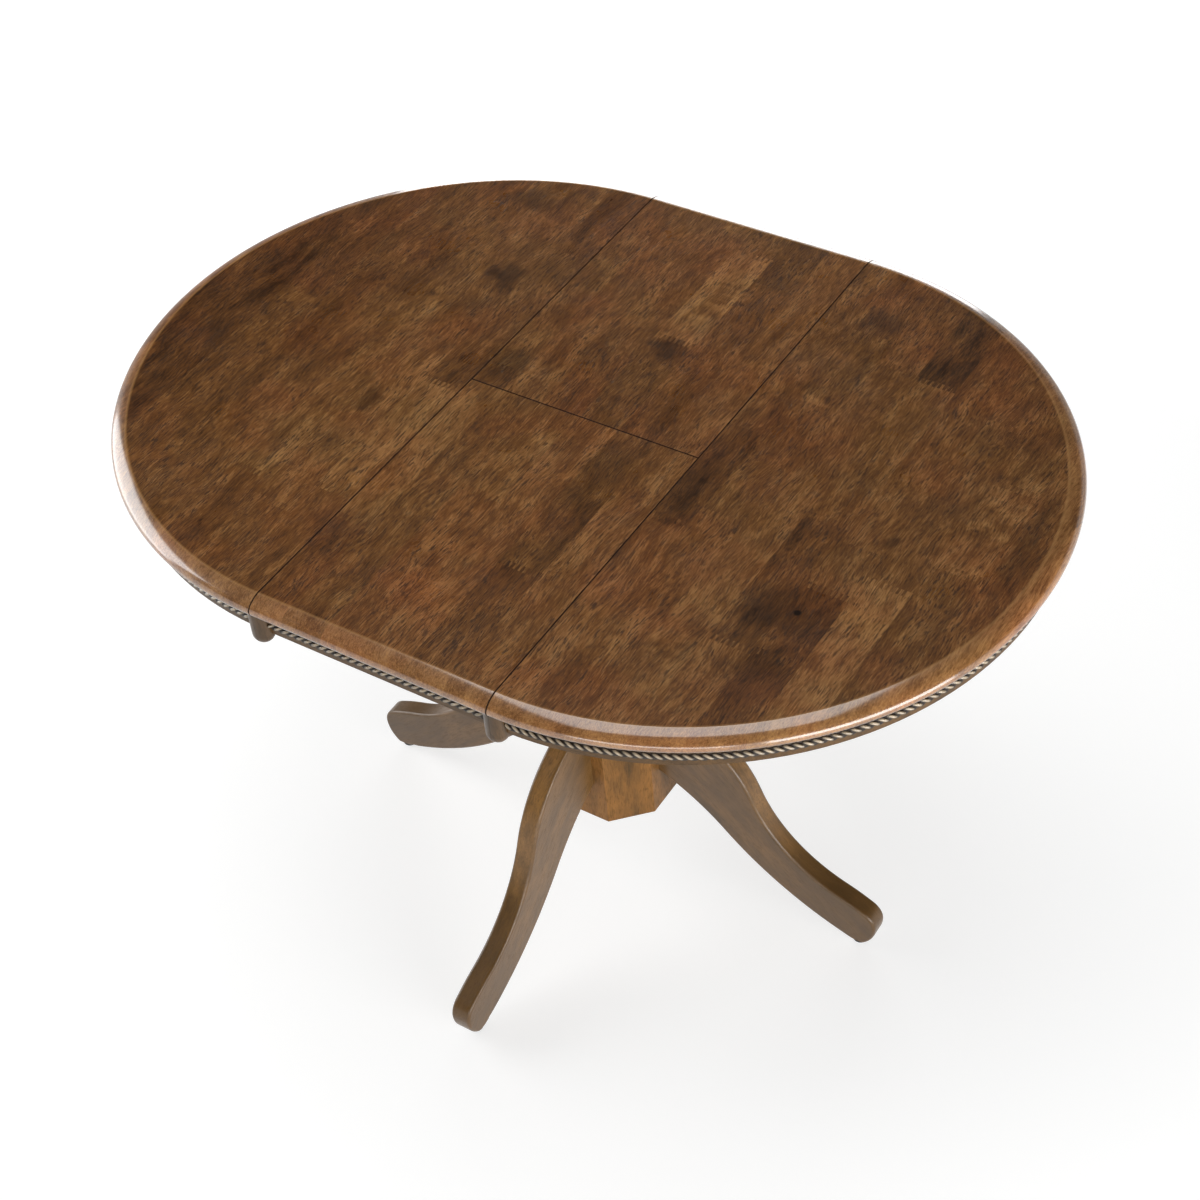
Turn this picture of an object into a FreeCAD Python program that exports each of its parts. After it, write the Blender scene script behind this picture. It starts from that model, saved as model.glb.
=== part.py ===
import FreeCAD, Part
import os
import re
import Sketcher
from FreeCAD import Placement, Rotation, Vector

# Extending pedestal table: a round top parted in two halves on geared wooden slides,
# a two-board folding leaf between them, and an octagonal column on four curved legs.
# Frame: origin on the floor under the column, +Z up, +X the way the table extends.

SIZES = [
    # Whole table
    ("table_height", 914.4), ("top_radius", 527.0), ("leaf_width", 381.0), ("top_thick", 25.4),
    # Moulded rim: width of the shaped band, its slope, height of its nose and its lower round
    ("rim_width", 24.0), ("rim_slope", 14.0), ("rim_nose", 17.0), ("rim_under", 7.0),
    # Seams, and how much thinner the leaf is so that it lies free on the runners
    ("seam_gap", 0.4), ("fold_gap", 0.4), ("leaf_rise", 0.3), ("seam_ease", 0.8),
    # Apron with its bead, and the split posts that cover the apron joints
    ("apron_inset", 17.0), ("apron_thick", 18.0), ("apron_height", 36.5),
    ("bead_radius", 5.5), ("bead_drop", 20.5), ("bead_gap", 0.8),
    ("post_radius", 16.0), ("post_inset", 19.0), ("post_length", 56.5), ("post_gap", 0.3),
    # Slide rails, fixed to the pedestal
    ("rail_place", 307.5), ("rail_thick", 22.0), ("rail_length", 660.0), ("rail_top_gap", 0.6),
    ("well_depth", 110.5), ("cross_inside", 200.0), ("cross_thick", 30.0), ("cross_drop", 39.0),
    ("bearer_place", 110.0), ("bearer_wide", 60.0), ("bearer_thick", 28.0), ("joint_gap", 0.2),
    # Runners, fixed to the halves
    ("runner_thick", 20.0), ("runner_height", 36.0), ("runner_end_gap", 17.0),
    ("runner_inner", 45.0), ("side_gap", 0.5), ("tongue_deep", 5.5), ("tongue_high", 9.0),
    ("tongue_drop", 26.0), ("tongue_gap", 0.3),
    # Rack and pinion that make both halves move alike
    ("pitch_radius", 12.0), ("tooth_above", 1.8), ("tooth_below", 2.3), ("tooth_play", 0.2),
    ("tooth_slope", 20.0), ("crest_slope", 25.6), ("gear_thick", 8.0), ("gear_drop", 12.0),
    ("gear_gap", 0.35), ("rack_back", 3.0), ("rack_margin", 8.438), ("pin_radius", 3.0),
    ("pin_gap", 0.05), ("pin_deep", 15.0),
    # Pedestal
    ("column_flats", 186.0), ("column_wall", 22.0), ("column_base", 152.0), ("plug_thick", 30.0),
    ("plug_gap", 0.3), ("cap_thick", 9.0), ("cap_inset", 3.0), ("plate_side", 320.0),
    ("plate_thick", 25.0), ("plate_corner", 40.0),
    # Curved legs
    ("leg_reach", 479.0), ("leg_rise", 380.0), ("leg_thick", 34.0), ("leg_round", 5.0),
    ("foot_height", 13.0), ("seat_gap", 0.1),
    ("bolt_radius", 4.0), ("bolt_low", 268.0), ("bolt_high", 338.0), ("bolt_in_leg", 45.0),
    ("bolt_inside", 12.0), ("bolt_gap", 0.15), ("nut_size", 13.0), ("nut_thick", 6.5),
    ("flange_radius", 9.0), ("flange_thick", 1.5), ("nut_gap", 0.1),
    # Levelling glides under the feet
    ("glide_inset", 33.0), ("glide_radius", 12.0), ("glide_neck", 9.0), ("glide_high", 12.7),
    ("glide_round", 2.0), ("stem_radius", 4.0), ("stem_length", 32.0), ("stem_gap", 0.06),
    # Screws
    ("screw_radius", 2.2), ("screw_head", 4.2), ("screw_head_high", 2.6), ("screw_gap", 0.15),
    ("runner_bore", 12.0), ("screw_in_top", 12.0), ("frame_screw_in", 26.0),
    ("lag_radius", 4.0), ("lag_head", 7.5), ("lag_head_high", 5.0), ("lag_short", 8.0),
    # Steel plates that carry the leaf's edge, and the latches for the closed table
    ("tab_long", 50.0), ("tab_wide", 40.0), ("tab_thick", 3.0), ("tab_out", 20.0),
    ("tab_near", 80.0), ("tab_far", 140.0),
    ("latch_place", 200.0), ("latch_back", 35.0), ("latch_base", 40.0), ("latch_sheet", 2.5),
    ("latch_pin", 3.0), ("latch_pin_long", 8.5), ("arm_thick", 3.0), ("arm_gap", 0.4),
    ("arm_eye", 10.0), ("arm_long", 55.0), ("arm_wide", 12.0), ("arm_hook", 6.0), ("peg_radius", 3.0),
    ("peg_long", 9.0), ("tab_knob", 4.0),
    # Hidden barrel hinges of the leaf
    ("barrel_radius", 7.0), ("barrel_deep", 18.0), ("barrel_near", 60.0), ("barrel_far", 150.0),
    ("barrel_drop", 11.0), ("barrel_gap", 0.1),
    # What a cutter reaches past the face that it opens
    ("overrun", 2.0),
]
NAMES = {name for name, size in SIZES}

PINION_TEETH = 12
RACK_TEETH = 38
TEETH_BEYOND_PINION = 6
FULL_TURN = 360
HALF_TURN = 180
QUARTER_TURN = 90
NO_TURN = 0
THREE_QUARTER_TURN = QUARTER_TURN + HALF_TURN
OCTAGON_SHARE = 0.41421356
SCREW_FACE_SHARE = 0.7
SCREW_SHARES = (0.12, 0.5, 0.88)
CROSS_SCREW_SHARES = (0.27, 0.77)

UNDERSIDE = "(table_height - top_thick)"
LEAF_UNDER = "(table_height - top_thick + leaf_rise)"
LEAF_HALF = "(leaf_width / 2 - seam_gap)"
WELL_FLOOR = "(table_height - top_thick - well_depth)"
PLATE_TOP = "(table_height - top_thick - well_depth - bearer_thick)"
COLUMN_TOP = "(table_height - top_thick - well_depth - bearer_thick - plate_thick)"
APRON_OUT = "(top_radius - apron_inset)"
POST_PLACE = "(top_radius - post_inset)"
GLIDE_PLACE = "(leg_reach - glide_inset)"
GEAR_PLACE = "(table_height - top_thick - gear_drop)"
RAIL_FACE = "(rail_thick / 2 + side_gap)"
RACK_PITCH = "(2 * pi * pitch_radius / %d)" % PINION_TEETH
RACK_NEAR = "(leaf_width / 2 - %d * %s)" % (RACK_TEETH - TEETH_BEYOND_PINION, RACK_PITCH)
RACK_DEEP = "(pitch_radius + tooth_below + rack_back - rail_thick / 2 - side_gap + seat_gap)"
RUNNER_END = ("(sqrt((top_radius - apron_inset - apron_thick) ^ 2"
              " - (rail_place + rail_thick / 2 + side_gap + runner_thick) ^ 2) - runner_end_gap)")
RIM_ROUND = ("((rim_nose - rim_width * tan(rim_slope))"
             " / (cos(rim_slope) - tan(rim_slope) * (1 - sin(rim_slope))))")

# Outline of a leg, as shares of its reach from the column's axis and of its rise from the
# floor. Each arc is given by a point that it passes and its end.
LEG_UPPER_SHARES = [((0.4102, 0.8868), (0.5491, 0.6487)), ((0.6722, 0.4145), (0.8645, 0.2724)),
                    ((0.9152, 0.2492), (0.9637, 0.2210)), ((0.9906, 0.1897), (1.0, 0.1461)),
                    ((0.9910, 0.0850), (0.9624, 0.0342))]
LEG_LOWER_SHARES = [((0.6576, 0.1711), (0.4369, 0.3892)), ((0.3244, 0.5105), (0.1942, 0.6000))]
FOOT_HEEL_SHARE = 0.8950

# Where a piece's own frame stands: turn about the vertical, and shift along X.
FRAMES = {"middle": (NO_TURN, "0"), "left": (NO_TURN, "-leaf_width / 2"),
          "right": (HALF_TURN, "leaf_width / 2"), "quarter": (QUARTER_TURN, "0"),
          "half": (HALF_TURN, "0"), "three_quarter": (THREE_QUARTER_TURN, "0")}
LEG_FRAMES = {"right": "middle", "back": "quarter", "left": "half", "front": "three_quarter"}

doc = FreeCAD.newDocument("ExtendingTable")
sheet = doc.addObject("Spreadsheet::Sheet", "Sizes")
for row, (name, size) in enumerate(SIZES, start=1):
    sheet.set("A%d" % row, name)
    sheet.set("B%d" % row, str(size))
    sheet.setAlias("B%d" % row, name)
doc.recompute()
NODES = []


def bound(text):
    """An expression with each size's word pointed at the sheet."""
    return re.sub(r"[a-z_]+", lambda word: "Sizes." + word.group() if word.group() in NAMES
                  else word.group(), text)


def value(text):
    """The number that an expression has now."""
    return float(sheet.evalExpression(bound(text)))


def drive(thing, **links):
    """Bind an object's properties to expressions."""
    for name, text in links.items():
        thing.setExpression(name.replace("__", "."), bound(text))
    return thing


def turned(turn, across, along):
    """A place turned about the vertical by a whole number of quarters."""
    return {NO_TURN: (across, along), QUARTER_TURN: ("-(%s)" % along, across),
            HALF_TURN: ("-(%s)" % across, "-(%s)" % along),
            THREE_QUARTER_TURN: (along, "-(%s)" % across)}[turn]


def stand(thing, frame="middle", x="0", y="0", z="0", rotation=None):
    """Put an object at a place of a frame, and keep it there when sizes change."""
    turn, shift = FRAMES[frame]
    own = rotation or Rotation()
    thing.Placement = Placement(Vector(), Rotation(Vector(0, 0, 1), turn).multiply(own))
    across, along = turned(turn, x, y)
    return drive(thing, Placement__Base__x="%s + %s" % (shift, across),
                 Placement__Base__y=along, Placement__Base__z=z)


def box(long, wide, high, x, y, z, frame="middle"):
    """A block by its sizes and its lowest corner."""
    thing = drive(doc.addObject("Part::Box", "Block"), Length=long, Width=wide, Height=high)
    return stand(thing, frame, x, y, z)


def rod(radius, long, x, y, z, frame="middle", rotation=None):
    """A round bar from its first end."""
    thing = drive(doc.addObject("Part::Cylinder", "Rod"), Radius=radius, Height=long)
    return stand(thing, frame, x, y, z, rotation)


def cone(first, second, long, x, y, z, frame="middle", rotation=None):
    """A tapered round bar from its first end."""
    thing = drive(doc.addObject("Part::Cone", "Taper"), Radius1=first, Radius2=second, Height=long)
    return stand(thing, frame, x, y, z, rotation)


def prism(across_flats, long, x, y, z, frame="middle", rotation=None):
    """A six-sided bar from its first end."""
    thing = drive(doc.addObject("Part::Prism", "Hexagon"), Height=long,
                  Circumradius="%s / 2 / cos(30)" % across_flats)
    thing.Polygon = 6
    return stand(thing, frame, x, y, z, rotation)


def joined(things):
    """Several shapes as one solid."""
    if len(things) == 1:
        return things[0]
    fuse = doc.addObject("Part::MultiFuse", "Joined")
    fuse.Shapes = things
    return fuse


def less(base, tools):
    """A shape with others cut from it."""
    cut = doc.addObject("Part::Cut", "Cut")
    cut.Base = base
    cut.Tool = joined(tools)
    return cut


def group(things):
    """Separate solids that share one node."""
    compound = doc.addObject("Part::Compound", "Group")
    compound.Links = things
    return compound


def node(label, thing):
    """Name a finished piece and keep it for the end."""
    thing.Label = label
    NODES.append(thing)
    return thing


def body(name):
    """A body for sketched features."""
    return doc.addObject("PartDesign::Body", name)


def sketch_on(holder, role):
    """A sketch on one of the body's own planes."""
    sketch = holder.newObject("Sketcher::SketchObject", "Outline")
    plane = [item for item in holder.Origin.OriginFeatures if item.Role == role][0]
    sketch.AttachmentSupport = [(plane, "")]
    sketch.MapMode = "FlatFace"
    return sketch


def hold(sketch, geometry, end, place):
    """Keep one point of a sketch at a place given by two expressions."""
    for kind, text in zip(("DistanceX", "DistanceY"), place):
        number = sketch.addConstraint(Sketcher.Constraint(kind, -1, 1, geometry, end, value(text)))
        drive(sketch, **{"Constraints[%d]" % number: text})


def at(place):
    """A sketch place as a vector."""
    return Vector(value(place[0]), value(place[1]), 0)


def outline(sketch, start, legs):
    """A closed outline. A leg is (x, y) for a line's end, or (middle, end) for an arc.

    An arc with a third word goes on smoothly from the one before, and its middle is only
    where it is first drawn.
    """
    ends = []
    smooth = []
    here = start
    for leg in legs + [start]:
        if isinstance(leg[0], tuple):
            middle, there = leg[0], leg[1]
            arc = Part.Arc(at(here), at(middle), at(there))
            number = sketch.addGeometry(arc, False)
            forward = sketch.getPoint(number, 1).distanceToPoint(at(here)) < value("seat_gap")
            ends.append((number, 1, 2) if forward else (number, 2, 1))
            smooth.append("smooth" in leg)
            if not smooth[-1]:
                mark = sketch.addGeometry(Part.Point(at(middle)), True)
                hold(sketch, mark, 1, middle)
                sketch.addConstraint(Sketcher.Constraint("PointOnObject", mark, 1, number))
        else:
            there = leg
            number = sketch.addGeometry(Part.LineSegment(at(here), at(there)), False)
            ends.append((number, 1, 2))
            smooth.append(False)
        hold(sketch, number, ends[-1][1], here)
        here = there
    for this, following, tangent in zip(ends, ends[1:] + ends[:1], smooth[1:] + smooth[:1]):
        kind = "Tangent" if tangent else "Coincident"
        sketch.addConstraint(
            Sketcher.Constraint(kind, this[0], this[2], following[0], following[1]))
    return sketch


def ring(sketch, place, radius):
    """A circle in a sketch."""
    number = sketch.addGeometry(Part.Circle(at(place), Vector(0, 0, 1), value(radius)), False)
    hold(sketch, number, 3, place)
    index = sketch.addConstraint(Sketcher.Constraint("Radius", number, value(radius)))
    drive(sketch, **{"Constraints[%d]" % index: radius})
    return sketch


def padded(holder, sketch, depth, middle=False):
    """A sketch pushed out by a depth, to both sides if it is the middle."""
    pad = holder.newObject("PartDesign::Pad", "Pad")
    pad.Profile = sketch
    pad.Midplane = middle
    drive(pad, Length=depth)
    sketch.Visibility = False
    return pad


def revolved(holder, sketch, angle):
    """A sketch turned about the body's vertical axis."""
    turn = holder.newObject("PartDesign::Revolution", "Turn")
    turn.Profile = sketch
    turn.ReferenceAxis = (sketch, ["V_Axis"])
    turn.Angle = angle
    return turn


def rim_legs(inner, edge, top, under):
    """The moulded edge of the top, from the flat to the underside."""
    low = "(%s - rim_nose)" % top
    bend_x = "(%s - %s * (1 - sin(rim_slope)))" % (edge, RIM_ROUND)
    bend_z = "(%s + %s * cos(rim_slope))" % (low, RIM_ROUND)
    half_x = "(%s - %s * (1 - cos(45 - rim_slope / 2)))" % (edge, RIM_ROUND)
    half_z = "(%s + %s * sin(45 - rim_slope / 2))" % (low, RIM_ROUND)
    turn_x = "(%s - rim_under * (1 - cos(45)))" % edge
    turn_z = "(%s - (%s - %s) * sin(45))" % (low, low, under)
    return [("%s - rim_width" % edge, top), (bend_x, bend_z),
            ((half_x, half_z), (edge, low)),
            ((turn_x, turn_z), ("%s - rim_under" % edge, under)),
            (inner, under)]


def half_top(side):
    """One half of the round top, a half turn of the rim's section."""
    holder = body("TopBody")
    sketch = sketch_on(holder, "XZ_Plane")
    outline(sketch, ("0", "table_height"),
            rim_legs("0", "top_radius", "table_height", UNDERSIDE))
    turn = revolved(holder, sketch, HALF_TURN)
    holder.Tip = turn
    stand(holder, side, rotation=Rotation(Vector(0, 0, 1), QUARTER_TURN))
    holes = [rod("screw_radius + screw_gap", "screw_in_top + screw_gap", x, y, UNDERSIDE, side)
             for x, y in runner_screw_places()]
    node("top_" + side, less(holder, [edge_ease(side, "0")] + holes))


def edge_ease(frame, x):
    """A slender square bar, its edges up, down and sideways, that eases an upper edge along Y."""
    bar = drive(doc.addObject("Part::Prism", "Ease"), Circumradius="seam_ease",
                Height="2 * top_radius + 2 * overrun")
    bar.Polygon = 4
    return stand(bar, frame, x, "-top_radius - overrun", "table_height",
                 Rotation(Vector(1, 0, 0), -QUARTER_TURN))


def runner_places():
    """For one half in its own frame: the middle of each runner, and the end that it is near."""
    inner = "(rail_place - %s - runner_thick / 2)" % RAIL_FACE
    outer = "(rail_place + %s + runner_thick / 2)" % RAIL_FACE
    return [(inner, "back"), ("-" + outer, "front")]


def runner_screw_places():
    """Where the screws of a half's runners stand, in the half's frame."""
    return [("-%s * %s" % (RUNNER_END, share), y) for y, end in runner_places()
            for share in SCREW_SHARES]


def runners(side):
    """The wooden runners of one half, each with its tongue, rack groove and screw holes."""
    inner_long = "(leaf_width / 2 + runner_inner)"
    long = "(%s + %s)" % (RUNNER_END, inner_long)
    left_end = "-" + RUNNER_END
    low = "(%s - runner_height)" % UNDERSIDE
    for y, end in runner_places():
        bar = box(long, "runner_thick", "runner_height", left_end, y + " - runner_thick / 2", low, side)
        face = "(%s + runner_thick / 2)" % y
        tongue = box(long, "tongue_deep + overrun", "tongue_high", left_end, face + " - overrun",
                     UNDERSIDE + " - tongue_drop - tongue_high / 2", side)
        pocket = "(%s - rack_margin)" % RACK_NEAR
        groove = box("%s - %s + overrun" % (inner_long, pocket), RACK_DEEP + " + overrun",
                     "gear_thick + 2 * seat_gap", pocket, face + " - " + RACK_DEEP,
                     GEAR_PLACE + " - gear_thick / 2 - seat_gap", side)
        holes = []
        for x, place in runner_screw_places():
            if place == y:
                holes.append(rod("screw_radius + screw_gap", "runner_height + 2 * overrun", x, y,
                                 low + " - overrun", side))
                holes.append(rod("screw_head + screw_gap", "runner_bore + overrun", x, y,
                                 low + " - overrun", side))
        if side == "right":
            end = {"back": "front", "front": "back"}[end]
        node("runner_%s_%s" % (side, end), less(joined([bar, tongue]), [groove] + holes))


def racks(side):
    """The two toothed racks of one half, in mesh with the pinions at rest."""
    start = "(%s + %s / 2)" % (RACK_NEAR, RACK_PITCH)
    far = "(%s + %d * %s)" % (RACK_NEAR, RACK_TEETH, RACK_PITCH)
    bars = []
    for y, end in runner_places():
        holder = body("RackBody")
        sketch = sketch_on(holder, "XY_Plane")
        face = "(%s + runner_thick / 2)" % y
        root = "(%s + %s - pitch_radius - tooth_below)" % (face, RAIL_FACE)
        back = "(%s - rack_back)" % root
        outline(sketch, (RACK_NEAR, back), [(far, back), (far, root), (RACK_NEAR, root)])
        padded(holder, sketch, "gear_thick", True)
        tooth = sketch_on(holder, "XY_Plane")
        half = "(%s / 4 - tooth_play / 2)" % RACK_PITCH
        tip = "(%s + tooth_below + tooth_above)" % root
        wide = "(%s + tooth_below * tan(tooth_slope))" % half
        narrow = "(%s - tooth_above * tan(tooth_slope))" % half
        outline(tooth, ("%s - %s" % (start, wide), "%s - tooth_play" % root),
                [("%s + %s" % (start, wide), "%s - tooth_play" % root),
                 ("%s + %s" % (start, wide), root),
                 ("%s + %s" % (start, narrow), tip), ("%s - %s" % (start, narrow), tip),
                 ("%s - %s" % (start, wide), root)])
        cut = padded(holder, tooth, "gear_thick", True)
        row = holder.newObject("PartDesign::LinearPattern", "Teeth")
        row.Originals = [cut]
        row.Direction = (tooth, ["H_Axis"])
        row.Occurrences = RACK_TEETH
        drive(row, Length="%s * %d" % (RACK_PITCH, RACK_TEETH - 1))
        holder.Tip = row
        bars.append(stand(holder, side, z=GEAR_PLACE))
    node("racks_" + side, group(bars))


def pinion(label, y):
    """A pinion between its two racks, a tooth of it pointing at each."""
    holder = body("PinionBody")
    sketch = sketch_on(holder, "XY_Plane")
    ring(sketch, ("0", "0"), "pitch_radius - tooth_below - tooth_play")
    ring(sketch, ("0", "0"), "pin_radius + pin_gap")
    padded(holder, sketch, "gear_thick - 2 * gear_gap", True)
    tooth = sketch_on(holder, "XY_Plane")
    half = "(%s / 4 - tooth_play / 2)" % RACK_PITCH
    root = "(pitch_radius - tooth_below - 2 * tooth_play)"
    tip = "(pitch_radius + tooth_above)"
    crest = "(%s - tooth_above * tan(crest_slope))" % half
    outline(tooth, ("-%s" % half, root),
            [(half, root), (half, "pitch_radius"), (crest, tip), ("-" + crest, tip),
             ("-" + half, "pitch_radius")])
    pad = padded(holder, tooth, "gear_thick - 2 * gear_gap", True)
    wheel = holder.newObject("PartDesign::PolarPattern", "Teeth")
    wheel.Originals = [pad]
    wheel.Axis = (tooth, ["N_Axis"])
    wheel.Angle = FULL_TURN
    wheel.Occurrences = PINION_TEETH
    holder.Tip = wheel
    node(label, stand(holder, y=y, z=GEAR_PLACE))


def half_apron(side):
    """The curved apron of one half, notched round its posts."""
    holder = body("ApronBody")
    sketch = sketch_on(holder, "XZ_Plane")
    low = UNDERSIDE + " - apron_height"
    inside = APRON_OUT + " - apron_thick"
    outline(sketch, (inside, low), [(APRON_OUT, low), (APRON_OUT, UNDERSIDE), (inside, UNDERSIDE)])
    holder.Tip = revolved(holder, sketch, HALF_TURN)
    stand(holder, side, rotation=Rotation(Vector(0, 0, 1), QUARTER_TURN))
    node("apron_" + side, less(holder, post_cutters(side, "post_gap", ("0",))))


def post_cutters(frame, gap, across, ends=(1, -1)):
    """Round cutters that clear the posts."""
    return [rod("post_radius + " + gap, "post_length + overrun", x,
                "%d * %s" % (way, POST_PLACE), UNDERSIDE + " - post_length", frame)
            for x in across for way in ends]


def half_bead(side):
    """The half-round bead on a half's apron, the body of its rope moulding."""
    holder = body("BeadBody")
    sketch = sketch_on(holder, "XZ_Plane")
    height = "(%s - bead_drop)" % UNDERSIDE
    outline(sketch, (APRON_OUT, height + " - bead_radius"),
            [((APRON_OUT + " + bead_radius", height), (APRON_OUT, height + " + bead_radius"))])
    turn = revolved(holder, sketch, HALF_TURN)
    turn.Midplane = True
    drive(turn, Angle="180 deg - 2 * asin((post_radius + bead_gap) / %s)" % APRON_OUT)
    holder.Tip = turn
    node("rope_" + side, stand(holder, side, rotation=Rotation(Vector(0, 0, 1), HALF_TURN)))


def half_post(frame, x, y, top, turn):
    """Half of a domed post, its flat side on the seam."""
    holder = body("PostBody")
    sketch = sketch_on(holder, "XZ_Plane")
    low = "(%s - post_length)" % UNDERSIDE
    shoulder = "(%s + post_radius)" % low
    outline(sketch, ("0", top), [("post_radius", top), ("post_radius", shoulder),
                                 (("post_radius * cos(45)", "%s - post_radius * sin(45)" % shoulder),
                                  ("0", low))])
    holder.Tip = revolved(holder, sketch, HALF_TURN)
    return stand(holder, frame, x, y, rotation=Rotation(Vector(0, 0, 1), turn))


def half_posts(side):
    """The half-posts at the two ends of a half's apron."""
    node("posts_" + side, group([half_post(side, "0", "%d * %s" % (way, POST_PLACE), UNDERSIDE,
                                           QUARTER_TURN) for way in (1, -1)]))


def screw(frame, x, y, seat, long):
    """A pan-head screw driven upwards, its head under the seat."""
    head = cone("screw_head * %s" % SCREW_FACE_SHARE, "screw_head", "screw_head_high", x, y,
                seat + " - screw_head_high", frame)
    shank = rod("screw_radius", long, x, y, seat + " - screw_head_high / 2", frame)
    return joined([head, shank])


def half_fittings(side):
    """The runner screws of a half, and the steel plates that carry the leaf's edge."""
    start = "(%s - runner_height + runner_bore - screw_gap)" % UNDERSIDE
    node("runner_screws_" + side, group([
        screw(side, x, y, start, "runner_height - runner_bore + screw_in_top")
        for x, y in runner_screw_places()]))
    node("leaf_plates_" + side, group([
        box("tab_long", "tab_wide", "tab_thick", "tab_out - tab_long", place + " - tab_wide / 2",
            UNDERSIDE + " - tab_thick", side) for place in ("tab_near", "-tab_far")]))


def latches():
    """Latch plates with their pins on the left half, levers, and keepers on the right half."""
    low = "(%s - latch_sheet)" % UNDERSIDE
    plates = []
    for way, name in ((-1, "front"), (1, "back")):
        place = "%d * latch_place" % way
        plate = box("latch_base", "latch_base", "latch_sheet", "-latch_back - latch_base / 2",
                    place + " - latch_base / 2", low, "left")
        pin = rod("latch_pin", "latch_pin_long", "-latch_back", place, low + " - latch_pin_long",
                  "left")
        plates.append(joined([plate, pin]))
        arm_z = "(%s - arm_gap - arm_thick)" % low
        eye = rod("arm_eye", "arm_thick", "-latch_back", place, arm_z, "left")
        reach = "arm_long + arm_wide / 2"
        arm = box("arm_wide", reach, "arm_thick", "-latch_back - arm_wide / 2",
                  place if way > 0 else "%s - (%s)" % (place, reach), arm_z, "left")
        knob = rod("tab_knob", "arm_wide", "-latch_back",
                   "%s + %d * (arm_long - arm_wide)" % (place, way), arm_z + " - arm_wide", "left")
        bore = rod("latch_pin + pin_gap", "arm_thick + 2 * overrun", "-latch_back", place,
                   arm_z + " - overrun", "left")
        hook = "(arm_hook + arm_gap)"
        slot = box("arm_wide / 2 + %s / 2 + overrun" % hook, hook, "arm_thick + 2 * overrun",
                   "-latch_back - %s / 2" % hook if way < 0
                   else "-latch_back - arm_wide / 2 - overrun",
                   "%s + %d * arm_long - %s / 2" % (place, way, hook), arm_z + " - overrun", "left")
        node("latch_lever_" + name, less(joined([eye, arm, knob]), [bore, slot]))
    node("latch_plates", group(plates))
    keepers = []
    for way in (-1, 1):
        place = "%d * latch_place" % way
        plate = box("latch_base / 2", "latch_base", "latch_sheet",
                    "latch_back - arm_long - latch_base / 4", place + " - latch_base / 2", low, "right")
        peg = rod("peg_radius", "peg_long", "latch_back - arm_long", place, low + " - peg_long",
                  "right")
        keepers.append(joined([plate, peg]))
    node("latch_keepers", group(keepers))


def leaf_board(name, way):
    """One board of the leaf, moulded on its outer end."""
    holder = body("LeafBody")
    sketch = sketch_on(holder, "YZ_Plane")
    outline(sketch, ("fold_gap / 2", "table_height"),
            rim_legs("fold_gap / 2", "top_radius", "table_height", LEAF_UNDER))
    holder.Tip = padded(holder, sketch, "2 * " + LEAF_HALF, True)
    stand(holder, rotation=Rotation(Vector(0, 0, 1), NO_TURN if way > 0 else HALF_TURN))
    cutters = [edge_ease("middle", "-" + LEAF_HALF), edge_ease("middle", LEAF_HALF)]
    cross = drive(doc.addObject("Part::Prism", "Ease"), Circumradius="seam_ease",
                  Height="leaf_width + 2 * overrun")
    cross.Polygon = 4
    cutters.append(stand(cross, x="-leaf_width / 2 - overrun", y="%d * fold_gap / 2" % way,
                         z="table_height", rotation=Rotation(Vector(0, 1, 0), QUARTER_TURN)))
    for x in barrel_places():
        cutters.append(barrel("barrel_gap", x, way))
    node("leaf_board_" + name, less(holder, cutters))
    node("hinge_barrels_" + name, group([barrel("0", x, way) for x in barrel_places()]))


def barrel_places():
    """Where the hidden hinges stand across the leaf."""
    return ("-barrel_far", "-barrel_near", "barrel_near", "barrel_far")


def barrel(gap, x, way):
    """One barrel of a hidden hinge, let into a board's inner edge."""
    spin = Rotation(Vector(1, 0, 0), -QUARTER_TURN * way)
    return rod("barrel_radius + " + gap, "barrel_deep + %s" % gap, x, "%d * fold_gap / 2" % way,
               "table_height - barrel_drop", rotation=spin)


def leaf_apron(name, way):
    """The straight apron under a leaf board, with its bead and its half-posts."""
    inside = "(%s - apron_thick)" % APRON_OUT
    y = inside if way > 0 else "-" + APRON_OUT
    low = LEAF_UNDER + " - apron_height"
    board = box("2 * " + LEAF_HALF, "apron_thick", "apron_height", "-" + LEAF_HALF, y, low)
    edges = ("-" + LEAF_HALF, LEAF_HALF)
    node("leaf_apron_" + name, less(board, post_cutters("middle", "post_gap", edges, (way,))))
    holder = body("BeadBody")
    sketch = sketch_on(holder, "YZ_Plane")
    height = "(%s - bead_drop)" % LEAF_UNDER
    outline(sketch, (APRON_OUT, height + " - bead_radius"),
            [((APRON_OUT + " + bead_radius", height), (APRON_OUT, height + " + bead_radius"))])
    holder.Tip = padded(holder, sketch, "2 * (%s - post_radius - bead_gap)" % LEAF_HALF, True)
    spin = Rotation(Vector(0, 0, 1), NO_TURN if way > 0 else HALF_TURN)
    node("leaf_rope_" + name, stand(holder, rotation=spin))
    y = "%d * %s" % (way, POST_PLACE)
    node("leaf_posts_" + name, group([
        half_post("middle", LEAF_HALF, y, LEAF_UNDER, QUARTER_TURN),
        half_post("middle", "-" + LEAF_HALF, y, LEAF_UNDER, -QUARTER_TURN)]))


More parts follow.
